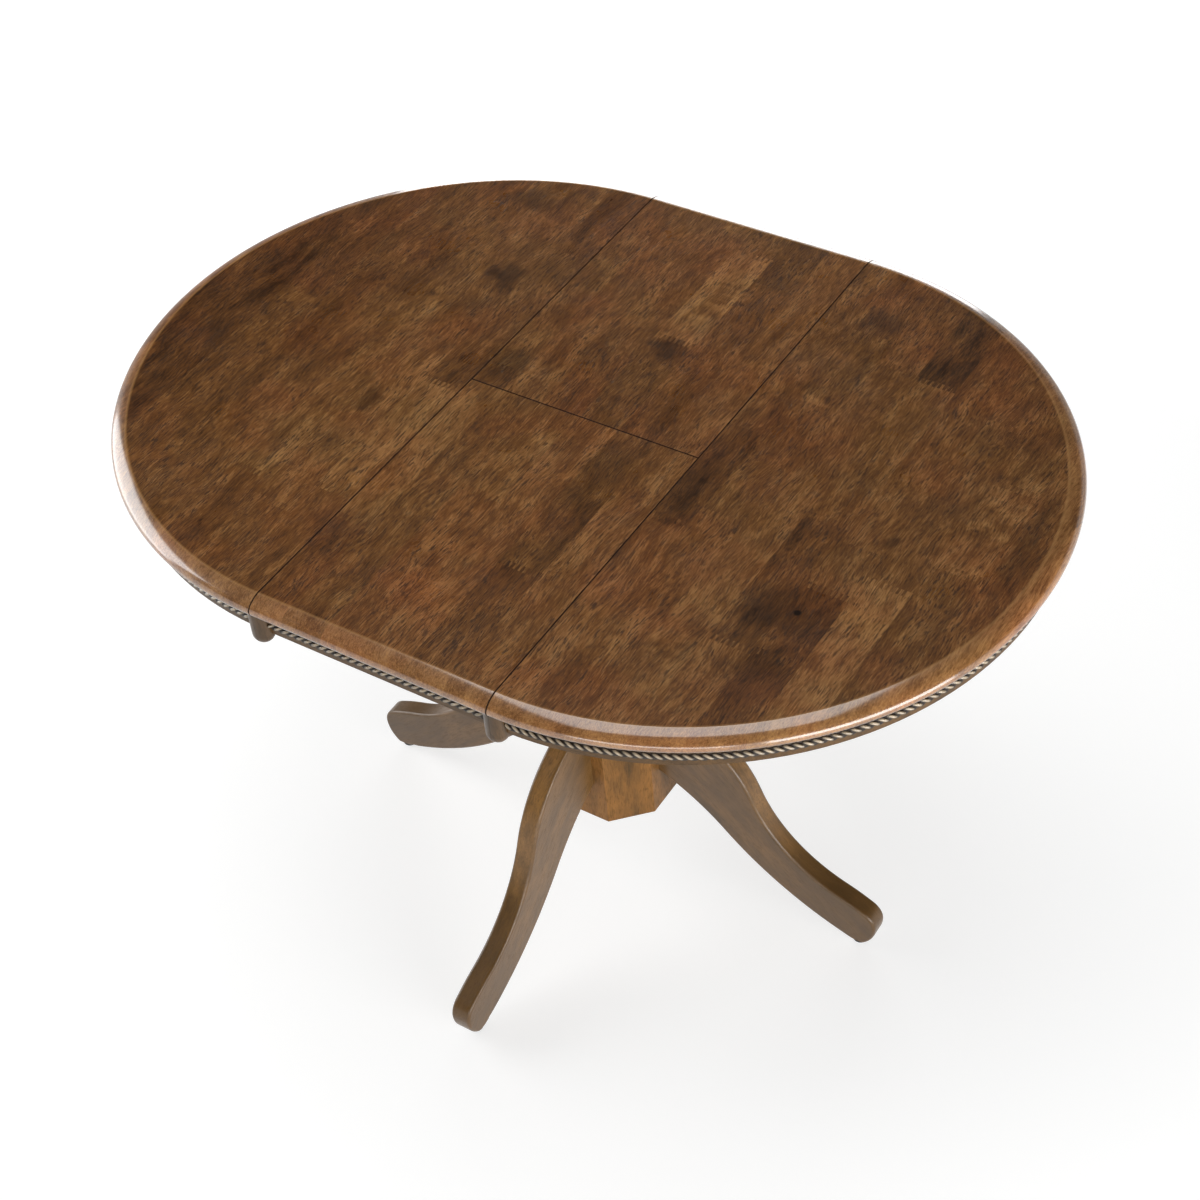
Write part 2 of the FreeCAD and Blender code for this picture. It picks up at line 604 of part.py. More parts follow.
def slide_rail(name, way):
    """A fixed rail with tongue grooves, rack clearances and the pinion's window."""
    top = "(%s - rail_top_gap)" % UNDERSIDE
    middle = "%d * rail_place" % way
    bar = box("rail_length", "rail_thick", "well_depth - rail_top_gap", "-rail_length / 2",
              middle + " - rail_thick / 2", WELL_FLOOR)
    cutters = []
    for face in (1, -1):
        groove_y = "%s + %d * rail_thick / 2" % (middle, face)
        deep = "(tongue_deep - side_gap + tongue_gap)"
        cutters.append(box("rail_length + 2 * overrun", deep + " + overrun",
                           "tongue_high + 2 * tongue_gap", "-rail_length / 2 - overrun",
                           groove_y + (" - " + deep if face > 0 else " - overrun"),
                           UNDERSIDE + " - tongue_drop - tongue_high / 2 - tongue_gap"))
        relief = "(rail_thick / 2 - pitch_radius + tooth_above + gear_gap)"
        cutters.append(box("rail_length + 2 * overrun", relief + " + overrun",
                           "gear_thick + 2 * gear_gap", "-rail_length / 2 - overrun",
                           groove_y + (" - " + relief if face > 0 else " - overrun"),
                           GEAR_PLACE + " - gear_thick / 2 - gear_gap"))
    room = "(pitch_radius + tooth_above + gear_gap)"
    cutters.append(box("2 * " + room, "rail_thick + 2 * overrun", "gear_thick", "-" + room,
                       middle + " - rail_thick / 2 - overrun", GEAR_PLACE + " - gear_thick / 2"))
    cutters.append(rod("pin_radius + pin_gap", "gear_drop + pin_deep + overrun", "0", middle,
                       GEAR_PLACE + " - pin_deep"))
    for x, y, z in rail_screw_places():
        if y[0] == "-" and way < 0 or y[0] != "-" and way > 0:
            cutters.append(rod("screw_radius + screw_gap", "rail_thick + 2 * overrun", x,
                               middle + " + %d * (rail_thick / 2 + overrun)" % way, z,
                               rotation=Rotation(Vector(1, 0, 0), QUARTER_TURN * way)))
    node("slide_rail_" + name, less(bar, cutters))


def rail_screw_places():
    """Screws through a rail into the ends of the cross rails."""
    return [("%d * (cross_inside + cross_thick / 2)" % x_way, "%srail_place" % y_way,
             "%s + (well_depth - cross_drop) * %s" % (WELL_FLOOR, share))
            for x_way in (-1, 1) for y_way in ("-", "") for share in CROSS_SCREW_SHARES]


def cross_rail(name, way):
    """A cross rail between the slide rails, with the screw holes in its ends."""
    half = "(rail_place - rail_thick / 2 - joint_gap)"
    x = "cross_inside" if way > 0 else "-cross_inside - cross_thick"
    bar = box("cross_thick", "2 * " + half, "well_depth - cross_drop", x, "-" + half, WELL_FLOOR)
    holes = []
    for place_x, y, z in rail_screw_places():
        if (place_x[0] == "-") == (way < 0):
            side = -1 if y[0] == "-" else 1
            holes.append(rod("screw_radius + screw_gap", "frame_screw_in + screw_gap + overrun",
                             place_x, "%d * (%s + overrun)" % (side, half), z,
                             rotation=Rotation(Vector(1, 0, 0), QUARTER_TURN * side)))
    for place_x, place_y in bearer_screw_places():
        if (place_x[0] == "-") == (way < 0):
            holes.append(rod("screw_radius + screw_gap", "frame_screw_in + screw_gap", place_x,
                             place_y, WELL_FLOOR))
    node("cross_rail_" + name, less(bar, holes))


def bearer_screw_places():
    """Screws up through the bearers into the cross rails."""
    return [("%d * (cross_inside + cross_thick / 2)" % x_way, "%d * bearer_place" % y_way)
            for x_way in (-1, 1) for y_way in (-1, 1)]


def bearer(name, way):
    """A bearer that the folded leaf lies on, screwed to the pedestal's plate."""
    half = "(cross_inside + cross_thick)"
    bar = box("2 * " + half, "bearer_wide", "bearer_thick", "-" + half,
              "%d * bearer_place - bearer_wide / 2" % way, PLATE_TOP)
    holes = []
    for x, y in bearer_screw_places():
        if (y[0] == "-") == (way < 0):
            holes.append(rod("screw_radius + screw_gap", "bearer_thick + 2 * overrun", x, y,
                             PLATE_TOP + " - overrun"))
    for x, y in lag_places():
        if (y[0] == "-") == (way < 0):
            holes.append(rod("lag_radius + screw_gap", "bearer_thick - lag_short + screw_gap", x, y,
                             PLATE_TOP))
    node("leaf_bearer_" + name, less(bar, holes))


def lag_places():
    """The coach screws up through the plate into the bearers."""
    return [("%d * bearer_place" % x_way, "%d * bearer_place" % y_way)
            for x_way in (-1, 1) for y_way in (-1, 1)]


def frame_fasteners():
    """The wood screws of the frame and the coach screws of the plate."""
    screws = []
    for x, y, z in rail_screw_places():
        side = -1 if y[0] == "-" else 1
        spin = Rotation(Vector(1, 0, 0), QUARTER_TURN * side)
        outer = "%d * (rail_place + rail_thick / 2 - screw_gap)" % side
        screws.append(rod("screw_radius", "rail_thick + joint_gap + frame_screw_in - screw_gap", x,
                          outer, z, rotation=spin))
    for x, y in bearer_screw_places():
        screws.append(rod("screw_radius", "bearer_thick + frame_screw_in - screw_gap", x, y,
                          PLATE_TOP + " + screw_gap"))
    node("frame_screws", group(screws))
    lags = []
    for x, y in lag_places():
        shank = rod("lag_radius", "plate_thick + bearer_thick - lag_short", x, y, COLUMN_TOP)
        head = prism("2 * lag_head", "lag_head_high", x, y, COLUMN_TOP + " - lag_head_high")
        lags.append(joined([shank, head]))
    node("coach_screws", group(lags))


def octagon(sketch, flats):
    """An octagon with its faces square to the axes."""
    out = "(%s)" % flats
    low = "(%s * %s)" % (out, OCTAGON_SHARE)
    outline(sketch, (out, "-" + low),
            [(out, low), (low, out), ("-" + low, out), ("-" + out, low), ("-" + out, "-" + low),
             ("-" + low, "-" + out), (low, "-" + out)])
    return sketch


def octagon_board(label, flats, thick, z, holes=()):
    """An eight-sided board."""
    holder = body("OctagonBody")
    holder.Tip = padded(holder, octagon(sketch_on(holder, "XY_Plane"), flats), thick)
    stand(holder, z=z)
    node(label, less(holder, list(holes)) if holes else holder)


def column():
    """The hollow octagonal column with its leg bolts' holes, its plug, cap and plate."""
    holder = body("ColumnBody")
    sketch = sketch_on(holder, "XY_Plane")
    octagon(sketch, "column_flats / 2")
    octagon(sketch, "column_flats / 2 - column_wall")
    holder.Tip = padded(holder, sketch, "%s - column_base" % COLUMN_TOP)
    stand(holder, z="column_base")
    holes = [leg_rod("bolt_radius + bolt_gap", "column_wall + 2 * overrun",
                     "column_flats / 2 - column_wall - overrun", z, frame)
             for frame in LEG_FRAMES.values() for z in ("bolt_low", "bolt_high")]
    node("column", less(holder, holes))
    inside = "column_flats / 2 - column_wall - plug_gap"
    screws = [(x, y) for x in ("plate_corner", "-plate_corner")
              for y in ("plate_corner", "-plate_corner")]
    plug_z = COLUMN_TOP + " - plug_thick"
    octagon_board("column_plug", inside, "plug_thick", plug_z,
                  [rod("screw_radius + screw_gap", "frame_screw_in", x, y,
                       COLUMN_TOP + " - frame_screw_in") for x, y in screws])
    octagon_board("column_cap", inside, "cap_thick", "column_base + cap_inset")
    board = box("plate_side", "plate_side", "plate_thick", "-plate_side / 2", "-plate_side / 2",
                COLUMN_TOP)
    through = "plate_thick + 2 * overrun"
    holes = [rod("lag_radius + screw_gap", through, x, y, COLUMN_TOP + " - overrun")
             for x, y in lag_places()]
    holes += [rod("screw_radius + screw_gap", through, x, y, COLUMN_TOP + " - overrun")
              for x, y in screws]
    node("pedestal_plate", less(board, holes))
    node("plate_screws", group([
        rod("screw_radius", "plate_thick + frame_screw_in - 2 * screw_gap", x, y,
            COLUMN_TOP + " - frame_screw_in + screw_gap") for x, y in screws]))


def leg_rod(radius, long, x, z, frame):
    """A round bar along a leg's own outward axis."""
    return rod(radius, long, x, "0", z, frame, Rotation(Vector(0, 1, 0), QUARTER_TURN))


def leg(name, frame):
    """A curved leg, sawn from one board and rounded along its edges."""
    holder = body("LegBody")
    sketch = sketch_on(holder, "XZ_Plane")

    def spot(shares):
        return ("leg_reach * %s" % shares[0], "leg_rise * %s" % shares[1])

    back = "column_flats / 2 + seat_gap"
    legs = [(spot(middle), spot(end)) for middle, end in LEG_UPPER_SHARES[:1]]
    legs += [(spot(middle), spot(end), "smooth") for middle, end in LEG_UPPER_SHARES[1:]]
    legs += [("leg_reach * %s" % FOOT_HEEL_SHARE, "foot_height")]
    legs += [(spot(middle), spot(end)) for middle, end in LEG_LOWER_SHARES[:-1]]
    last_middle, last_end = LEG_LOWER_SHARES[-1]
    legs += [(spot(last_middle), (back, spot(last_end)[1]), "smooth")]
    outline(sketch, (back, "leg_rise"), legs)
    pad = padded(holder, sketch, "leg_thick", True)
    doc.recompute()
    edges = round_edges(pad)
    fillet = holder.newObject("PartDesign::Fillet", "Rounding")
    fillet.Base = (pad, edges)
    drive(fillet, Radius="leg_round")
    holder.Tip = fillet
    stand(holder, frame)
    bores = [leg_rod("bolt_radius + bolt_gap", "bolt_in_leg + bolt_gap", "column_flats / 2", z, frame)
             for z in ("bolt_low", "bolt_high")]
    bores.append(rod("stem_radius + stem_gap", "stem_length + glide_high - foot_height + 2 * overrun",
                     GLIDE_PLACE, "0", "foot_height - overrun", frame))
    node("leg_" + name, less(holder, bores))


def round_edges(pad):
    """The long edges of a leg's two faces, all but those at the column and under the foot."""
    half = value("leg_thick") / 2
    back = value("column_flats / 2 + seat_gap")
    sole = value("foot_height + seat_gap")
    names = []
    for number, edge in enumerate(pad.Shape.Edges, start=1):
        middle = edge.valueAt((edge.FirstParameter + edge.LastParameter) / 2)
        flat = abs(abs(middle.y) - half) < value("pin_gap")
        if flat and abs(middle.x - back) > value("pin_gap") and middle.z > sole:
            names.append("Edge%d" % number)
    return names


def leg_fasteners():
    """Hanger bolts that hold the legs, and their flanged nuts inside the column."""
    bolts = []
    nuts = []
    start = "(column_flats / 2 - column_wall - bolt_inside)"
    seat = "(column_flats / 2 - column_wall - nut_gap)"
    for frame in LEG_FRAMES.values():
        for z in ("bolt_low", "bolt_high"):
            bolts.append(leg_rod("bolt_radius", "bolt_inside + column_wall + bolt_in_leg", start, z,
                                 frame))
            flange = leg_rod("flange_radius", "flange_thick", seat + " - flange_thick", z, frame)
            hexagon = prism("nut_size", "nut_thick + flange_thick",
                            seat + " - flange_thick - nut_thick", "0", z, frame,
                            Rotation(Vector(0, 1, 0), QUARTER_TURN))
            bore = leg_rod("bolt_radius + pin_gap", "nut_thick + flange_thick + 2 * overrun",
                           seat + " - flange_thick - nut_thick - overrun", z, frame)
            nuts.append(less(joined([hexagon, flange]), [bore]))
    node("leg_bolts", group(bolts))
    node("leg_nuts", group(nuts))


def glide(name, frame):
    """A levelling glide: a round pad on a screwed stem."""
    holder = body("GlideBody")
    sketch = sketch_on(holder, "XZ_Plane")
    outline(sketch, ("0", "0"),
            [("glide_radius - glide_round", "0"), ("glide_radius", "glide_round"),
             ("glide_neck", "glide_high"), ("stem_radius", "glide_high"),
             ("stem_radius", "glide_high + stem_length"), ("0", "glide_high + stem_length")])
    holder.Tip = revolved(holder, sketch, FULL_TURN)
    node("glide_" + name, stand(holder, frame, GLIDE_PLACE))


def build():
    """Make every piece of the table."""
    for side in ("left", "right"):
        half_top(side)
        half_apron(side)
        half_bead(side)
        half_posts(side)
        runners(side)
        racks(side)
        half_fittings(side)
    latches()
    for name, way in (("front", -1), ("back", 1)):
        leaf_board(name, way)
        leaf_apron(name, way)
        slide_rail(name, way)
        bearer(name, way)
        pinion("pinion_" + name, "%d * rail_place" % way)
    for name, way in (("left", -1), ("right", 1)):
        cross_rail(name, way)
    node("pinion_pins", group([
        rod("pin_radius", "gear_drop + pin_deep - rail_top_gap - pin_gap", "0",
            "%d * rail_place" % way, GEAR_PLACE + " - pin_deep + pin_gap") for way in (-1, 1)]))
    frame_fasteners()
    column()
    for name, frame in LEG_FRAMES.items():
        leg(name, frame)
        glide(name, frame)
    leg_fasteners()


def write_parts():
    """Check every object and write each piece to its own file."""
    doc.recompute()
    for item in doc.Objects:
        if "Invalid" in item.State or "Error" in item.State:
            raise RuntimeError("%s (%s) failed: %s" % (item.Name, item.Label, item.State))
    os.makedirs("parts", exist_ok=True)
    for item in NODES:
        shape = item.Shape
        if shape.isNull() or not shape.isValid() or not shape.Solids:
            raise RuntimeError("%s has no sound shape" % item.Label)
        shape.exportStep(os.path.join("parts", item.Label + ".step"))
        print("%-24s %2d solids %12.1f mm3" % (item.Label, len(shape.Solids), shape.Volume))


build()
write_parts()
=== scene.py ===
import math

import bmesh
import bpy
from bpy.props import FloatProperty, FloatVectorProperty, IntProperty, PointerProperty
from mathutils import Matrix, Vector


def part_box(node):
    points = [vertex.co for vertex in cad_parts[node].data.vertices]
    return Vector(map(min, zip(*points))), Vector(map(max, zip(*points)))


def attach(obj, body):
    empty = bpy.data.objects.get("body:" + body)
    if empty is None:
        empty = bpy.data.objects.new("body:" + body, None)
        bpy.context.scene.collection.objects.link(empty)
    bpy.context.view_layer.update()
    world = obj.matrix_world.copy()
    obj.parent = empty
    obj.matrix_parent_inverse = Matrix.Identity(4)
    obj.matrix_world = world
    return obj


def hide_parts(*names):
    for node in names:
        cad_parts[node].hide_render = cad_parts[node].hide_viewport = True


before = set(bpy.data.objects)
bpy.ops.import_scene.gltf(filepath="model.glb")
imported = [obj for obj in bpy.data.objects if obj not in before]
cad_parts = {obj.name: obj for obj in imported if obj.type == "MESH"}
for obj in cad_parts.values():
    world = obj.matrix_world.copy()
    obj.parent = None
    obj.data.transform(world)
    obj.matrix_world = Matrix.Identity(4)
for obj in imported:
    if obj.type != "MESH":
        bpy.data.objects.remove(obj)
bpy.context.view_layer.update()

bl_info = {
    "name": "Extending Table Looks",
    "version": (1, 0, 0),
    "blender": (4, 5, 0),
    "location": "3D View > Sidebar > Table",
    "description": "Dresses the extending pedestal table: boards, rope moulding, finishes and studio",
    "category": "Object",
}

TOP_LOW, TOP_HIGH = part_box("top_left")
LEAF_LOW, LEAF_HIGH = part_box("leaf_board_back")
APRON_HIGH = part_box("apron_left")[1]
ROPE_LOW, ROPE_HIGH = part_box("rope_left")
MM = 0.001

# How finely the rim and the rope are stepped, and where an edge between two facets stays sharp.
RIM_STEPS, RIM_UNDER_STEPS = 18, 8
ROPE_SECTION_STEPS, ROPE_LOBE_STEPS = 16, 8
BOARD_SHARP, ROPE_SHARP = math.radians(9), math.radians(60)

# The rope: a strand's radius and its distance from the middle, and the grooves' depth, as shares of
# the moulding's radius, and the direction, up from straight out, in which its lobes get a painted
# highlight; lobes turned away from it are left dark as painted shade.
ROPE_STRAND, ROPE_CENTRE, ROPE_GROOVE = 0.49, 0.51, 0.58
ROPE_HIGHLIGHT_ANGLE = math.radians(32)

# The wood's noises: detail, roughness, and scales across the grain, along it and across again.
GRAIN_NOISES = {
    "streaks": (6.0, 0.68, (400.0, 26.0, 400.0)),
    "fine": (3.0, 0.6, (1000.0, 85.0, 1000.0)),
    "figure": (4.0, 0.6, (32.0, 5.5, 32.0)),
    "mottle": (4.0, 0.6, (52.0, 20.0, 52.0)),
    "ticks": (2.0, 0.6, (430.0, 60.0, 430.0)),
    "lines": (2.0, 0.6, (480.0, 11.0, 480.0)),
    "curl": (3.0, 0.5, (17.0, 44.0, 17.0)),
    "smudge": (3.0, 0.5, (17.0, 8.0, 17.0)),
}

# How much each kind of grain changes the top's tone.
TONE_SHARES = (("Streaks", 2.1), ("Figure", 0.70), ("Mottle", 0.80))

# The studio's lamps: name, place, aim, width, height and watts.
LAMPS = (
    ("Overhead", (-0.1, 0.15, 4.2), (0.0, 0.0, 0.6), 2.5, 2.5, 53.0),
    ("Back side", (-1.4, 3.0, 0.9), (0.0, 0.0, 0.6), 2.4, 1.2, 42.0),
    ("Left window", (-3.2, -0.7, 1.7), (0.0, 0.0, 0.9), 2.5, 2.6, 92.0),
    ("Right side", (3.2, -1.2, 0.85), (0.0, 0.0, 0.7), 2.8, 1.5, 92.0),
    ("Front fill", (1.2, -3.2, 1.0), (0.0, 0.0, 0.5), 2.4, 0.8, 20.0),
)

# The camera: its place, its yaw, pitch and roll in degrees, and its lens in millimetres.
CAMERA_PLACE = (1.5072, -2.0549, 3.0197)
CAMERA_TURNS = (-36.29, -44.06, -5.854)
CAMERA_LENS, CAMERA_SENSOR = 69.93, 36.0

# How the grain is turned from Y to run along X, upright or down a leg.
ALONG_X, UPRIGHT = (0.0, 0.0, math.pi / 2), (math.pi / 2, 0.0, 0.0)
LEG_SLANT = math.radians(42)

# Marks in the top's wood, in millimetres: middle, half width, half length, strength.
DARK_MARKS = {
    "halves": [(-285, 232, 34, 36, 0.75), (-286, 150, 24, 26, 0.4), (-299, -105, 20, 28, 0.65),
               (-292, -212, 18, 26, 0.3), (-356, 420, 42, 30, 0.5), (-610, 0, 70, 420, 0.25),
               (280, 392, 34, 34, 0.55), (262, 203, 30, 14, 0.4), (218, -70, 26, 90, 0.4),
               (436, -205, 62, 52, 0.5), (457, -203, 6, 6, 2.0), (455, -312, 40, 60, 0.3),
               (345, 470, 60, 30, 0.3), (505, -30, 12, 16, 0.7), (660, 40, 14, 120, 0.5)],
    "leaf": [(30, 186, 30, 28, 0.65), (-160, 60, 26, 34, 0.6), (-160, 260, 20, 110, 0.3),
             (-62, 150, 26, 60, 0.35), (80, 500, 22, 20, 0.4), (80, -90, 28, 70, 0.3),
             (-150, -360, 26, 50, 0.4), (-28, -345, 22, 18, 0.3)],
}
CURLY_MARKS = {
    "halves": [(604, 60, 34, 110, 1.0), (340, -330, 34, 60, 0.8), (278, 188, 30, 22, 0.9),
               (218, -132, 26, 22, 0.9), (-282, 200, 30, 60, 0.4), (510, -240, 30, 50, 0.5)],
    "leaf": [(46, 330, 30, 70, 0.9), (-120, 60, 34, 50, 0.5), (0, -60, 60, 40, 0.4)],
}

# The strips of the glued-up top. For each section: where its first joint is, the strip's width,
# and from the left to the right the pieces of each strip, as (front end, tone, redness).
SECTIONS = {
    "left": (-640.6, 64.3, [
        [(-530, 0.22, 0.5)],
        [(-530, 0.26, 0.4)],
        [(60, 0.32, 0.6), (-530, 0.38, 0.2)],
        [(180, 0.42, 0.1), (-90, 0.34, 0.3), (-530, 0.40, 0.2)],
        [(120, 0.36, 0.3), (-530, 0.44, 0.2)],
        [(-20, 0.50, 0.1), (-310, 0.58, 0.0), (-530, 0.42, 0.4)],
        [(60, 0.44, 0.2), (-350, 0.58, 0.1), (-530, 0.48, 0.3)],
        [(315, 0.30, 0.3), (-30, 0.36, 0.1), (-290, 0.66, 0.0), (-530, 0.50, 0.3)],
        [(-60, 0.50, 0.3), (-530, 0.66, 0.8)],
    ]),
    "leaf_back": (-136.0, 65.3, [
        [(410, 0.42, 0.2), (43, 0.50, 0.0), (0, 0.24, 0.2)],
        [(0, 0.52, 0.3)],
        [(150, 0.50, 0.2), (0, 0.42, 0.6)],
        [(440, 0.46, 0.1), (210, 0.78, 0.2), (135, 0.30, 0.2), (0, 0.40, 0.1)],
        [(380, 0.34, 0.2), (0, 0.40, 0.5)],
        [(0, 0.56, 0.5)],
    ]),
    "leaf_front": (-136.0, 65.3, [
        [(-327, 0.68, 0.1), (-530, 0.38, 0.5)],
        [(-530, 0.48, 0.1)],
        [(-200, 0.56, 0.2), (-530, 0.54, 0.6)],
        [(-530, 0.60, 0.5)],
        [(-300, 0.42, 0.1), (-530, 0.34, 0.3)],
        [(-530, 0.58, 0.3)],
    ]),
    "right": (247.0, 64.7, [
        [(90, 0.50, 0.3), (-125, 0.28, 0.3), (-530, 0.58, 0.4)],
        [(345, 0.38, 0.3), (-90, 0.46, 0.1), (-530, 0.52, 0.3)],
        [(300, 0.44, 0.5), (-70, 0.52, 0.2), (-530, 0.66, 0.2)],
        [(290, 0.16, 0.1), (-30, 0.56, 0.1), (-290, 0.32, 0.2), (-530, 0.60, 0.3)],
        [(150, 0.46, 0.4), (-52, 0.56, 0.2), (-150, 0.54, 0.1), (-285, 0.28, 0.4), (-530, 0.30, 0.5)],
        [(250, 0.50, 0.2), (-107, 0.48, 0.1), (-530, 0.76, 0.2)],
        [(140, 0.52, 0.1), (-40, 0.66, 0.2), (-530, 0.46, 0.1)],
        [(-530, 0.48, 0.3)],
        [(-530, 0.54, 0.5)],
    ]),
}


class TableSizes(bpy.types.PropertyGroup):
    """Sizes of the pieces that are modelled here"""
    top_radius: FloatProperty(name="Top radius", description="Radius of the round ends",
                              default=TOP_HIGH.y, unit="LENGTH")
    top_height: FloatProperty(name="Top height", description="Height of the top face",
                              default=TOP_HIGH.z, unit="LENGTH")
    half_underside: FloatProperty(name="Half underside", description="Height of a half's underside",
                                  default=TOP_LOW.z, unit="LENGTH")
    leaf_underside: FloatProperty(name="Leaf underside", description="Height of the leaf's underside",
                                  default=LEAF_LOW.z, unit="LENGTH")
    half_seam: FloatProperty(name="Half seam", description="Distance of a half's straight edge",
                             default=-TOP_HIGH.x, unit="LENGTH")
    leaf_seam: FloatProperty(name="Leaf seam", description="Distance of the leaf's side edge",
                             default=LEAF_HIGH.x, unit="LENGTH")
    leaf_fold: FloatProperty(name="Leaf fold", description="Distance of a leaf board's inner edge",
                             default=LEAF_LOW.y, unit="LENGTH", precision=5)
    rim_width: FloatProperty(name="Rim width", description="Width of the moulded rim",
                             default=0.024, unit="LENGTH")
    rim_start: FloatProperty(name="Rim start", description="Where the oval starts, from its crown",
                             default=math.radians(20), subtype="ANGLE")
    rim_nose: FloatProperty(name="Rim nose", description="Height of the rim above its widest line",
                            default=0.017, unit="LENGTH")
    rim_under: FloatProperty(name="Rim under", description="Lower round of the rim",
                             default=0.007, unit="LENGTH")
    seam_ease: FloatProperty(name="Seam ease", description="Bevel along the seams",
                             default=0.0005, unit="LENGTH", precision=5)
    apron_radius: FloatProperty(name="Apron radius", description="Radius of the apron's outer face",
                                default=APRON_HIGH.y, unit="LENGTH")
    rope_radius: FloatProperty(name="Rope radius", description="Radius of the rope moulding",
                               default=(ROPE_HIGH.z - ROPE_LOW.z) / 2, unit="LENGTH")
    rope_height: FloatProperty(name="Rope height", description="Height of the rope's middle",
                               default=(ROPE_HIGH.z + ROPE_LOW.z) / 2, unit="LENGTH")
    rope_pitch: FloatProperty(name="Rope pitch", description="Distance from lobe to lobe",
                              default=0.0125, unit="LENGTH")
    turn_steps: IntProperty(name="Turn steps", description="Facets round half a turn of the rim",
                            default=144, min=24)
    finger_long: FloatProperty(name="Finger length", description="Length of the finger joints",
                               default=0.011, unit="LENGTH")
    finger_wide: FloatProperty(name="Finger width", description="Width of one joint finger",
                               default=0.004, unit="LENGTH")


class TableColours(bpy.types.PropertyGroup):
    """Colours of the finishes"""
    board_dark: FloatVectorProperty(name="Dark board", description="Darkest heartwood",
                                    default=(0.030, 0.013, 0.005), subtype="COLOR")
    board_mid: FloatVectorProperty(name="Middle board", description="Middle tone of the top",
                                   default=(0.200, 0.086, 0.0250), subtype="COLOR")
    board_light: FloatVectorProperty(name="Light board", description="Lightest boards",
                                     default=(0.480, 0.252, 0.087), subtype="COLOR")
    board_contrast: FloatProperty(name="Board contrast", description="Difference between strips",
                                  default=0.75, subtype="FACTOR")
    base_dark: FloatVectorProperty(name="Dark base", description="Dark grain of the base",
                                   default=(0.088, 0.046, 0.014), subtype="COLOR")
    base_light: FloatVectorProperty(name="Light base", description="Light grain of the base",
                                    default=(0.345, 0.172, 0.048), subtype="COLOR")
    # Rope lobe: the lobes' own lighter wood with a painted highlight and sheen laid into it.
    rope_lobe_and_highlight: FloatVectorProperty(name="Rope lobe", description="Rubbed lobes of the rope",
                                    default=(0.600, 0.480, 0.330), subtype="COLOR")
    # Rope groove: the stain in the grooves, darkened further as painted shade.
    rope_groove_stain_and_shade: FloatVectorProperty(name="Rope groove", description="Stain in the rope's grooves",
                                   default=(0.020, 0.012, 0.007), subtype="COLOR")
    frame_light: FloatVectorProperty(name="Frame wood", description="Plain wood of the slides",
                                     default=(0.50, 0.33, 0.18), subtype="COLOR")
    steel: FloatVectorProperty(name="Steel", description="Zinc-plated steel",
                               default=(0.56, 0.56, 0.57), subtype="COLOR")
    brass: FloatVectorProperty(name="Brass", description="Hinge barrels",
                               default=(0.62, 0.45, 0.20), subtype="COLOR")
    glide: FloatVectorProperty(name="Glide", description="Plastic of the glides",
                               default=(0.018, 0.018, 0.018), subtype="COLOR")
    floor: FloatVectorProperty(name="Floor", description="Pale studio floor",
                               default=(0.85, 0.86, 0.855), subtype="COLOR")
    floor_shade: FloatProperty(name="Floor shade", description="How dark shadows look on the floor",
                               default=0.42, subtype="FACTOR")
    floor_glow: FloatProperty(name="Floor glow", description="Whiteness that the floor shows",
                              default=0.48)


# Nodes of materials

def feed(tree, node, sockets):
    """Give a node's sockets, by name or number, a value or another node's socket."""
    for name, value in sockets.items():
        socket = node.inputs[name]
        if isinstance(value, bpy.types.NodeSocket):
            tree.links.new(value, socket)
        elif hasattr(value, "__len__") and len(value) == 3 and socket.type == "RGBA":
            socket.default_value = (*value, 1.0)
        else:
            socket.default_value = value


def add(tree, kind, sockets=None, **settings):
    """Add a shader node with its settings and what its sockets take."""
    made = tree.nodes.new("ShaderNode" + kind)
    for name, value in settings.items():
        setattr(made, name, value)
    feed(tree, made, sockets or {})
    return made


def math_node(tree, operation, *values, clamp=False):
    """A Math node's output."""
    return add(tree, "Math", dict(enumerate(values)), operation=operation, use_clamp=clamp).outputs[0]


def times(tree, first, second, clamp=False):
    """The product of two values."""
    return math_node(tree, "MULTIPLY", first, second, clamp=clamp)


def vector_node(tree, operation, *values):
    """A Vector Math node's vector output."""
    return add(tree, "VectorMath", dict(enumerate(values)), operation=operation).outputs[0]


def spread(tree, value, low, high, to_low=0.0, to_high=1.0):
    """A value's range mapped to another range."""
    return add(tree, "MapRange", {"Value": value, "From Min": low, "From Max": high,
                                  "To Min": to_low, "To Max": to_high}).outputs["Result"]


def tint(tree, factor, first, second, blend="MIX"):
    """Two colours mixed by a factor."""
    return add(tree, "Mix", {0: factor, 6: first, 7: second}, data_type="RGBA",
               blend_type=blend).outputs[2]


def darker(colour, share):
    """A colour with only a share of its light."""
    return [channel * share for channel in colour]


def noise(tree, vector, scale, detail=2.0, roughness=0.5, stretch=None):
    """A noise's value, stretched by a scale per axis."""
    if stretch:
        vector = vector_node(tree, "MULTIPLY", vector, stretch)
    return add(tree, "TexNoise", {"Vector": vector, "Scale": scale, "Detail": detail,
                                  "Roughness": roughness}).outputs["Fac"]


def group(name, inputs, outputs):
    """A new shader node group with its sockets, what it is given and its output node."""
    tree = bpy.data.node_groups.new(name, "ShaderNodeTree")
    for label, kind, value in inputs:
        socket = tree.interface.new_socket(label, in_out="INPUT", socket_type="NodeSocket" + kind)
        if value is not None:
            socket.default_value = value
    for label, kind in outputs:
        tree.interface.new_socket(label, in_out="OUTPUT", socket_type="NodeSocket" + kind)
    return tree, tree.nodes.new("NodeGroupInput").outputs, tree.nodes.new("NodeGroupOutput")


def place_group(tree, name, sockets):
    """Put a node group into a material."""
    return add(tree, "Group", sockets, node_tree=bpy.data.node_groups[name]).outputs


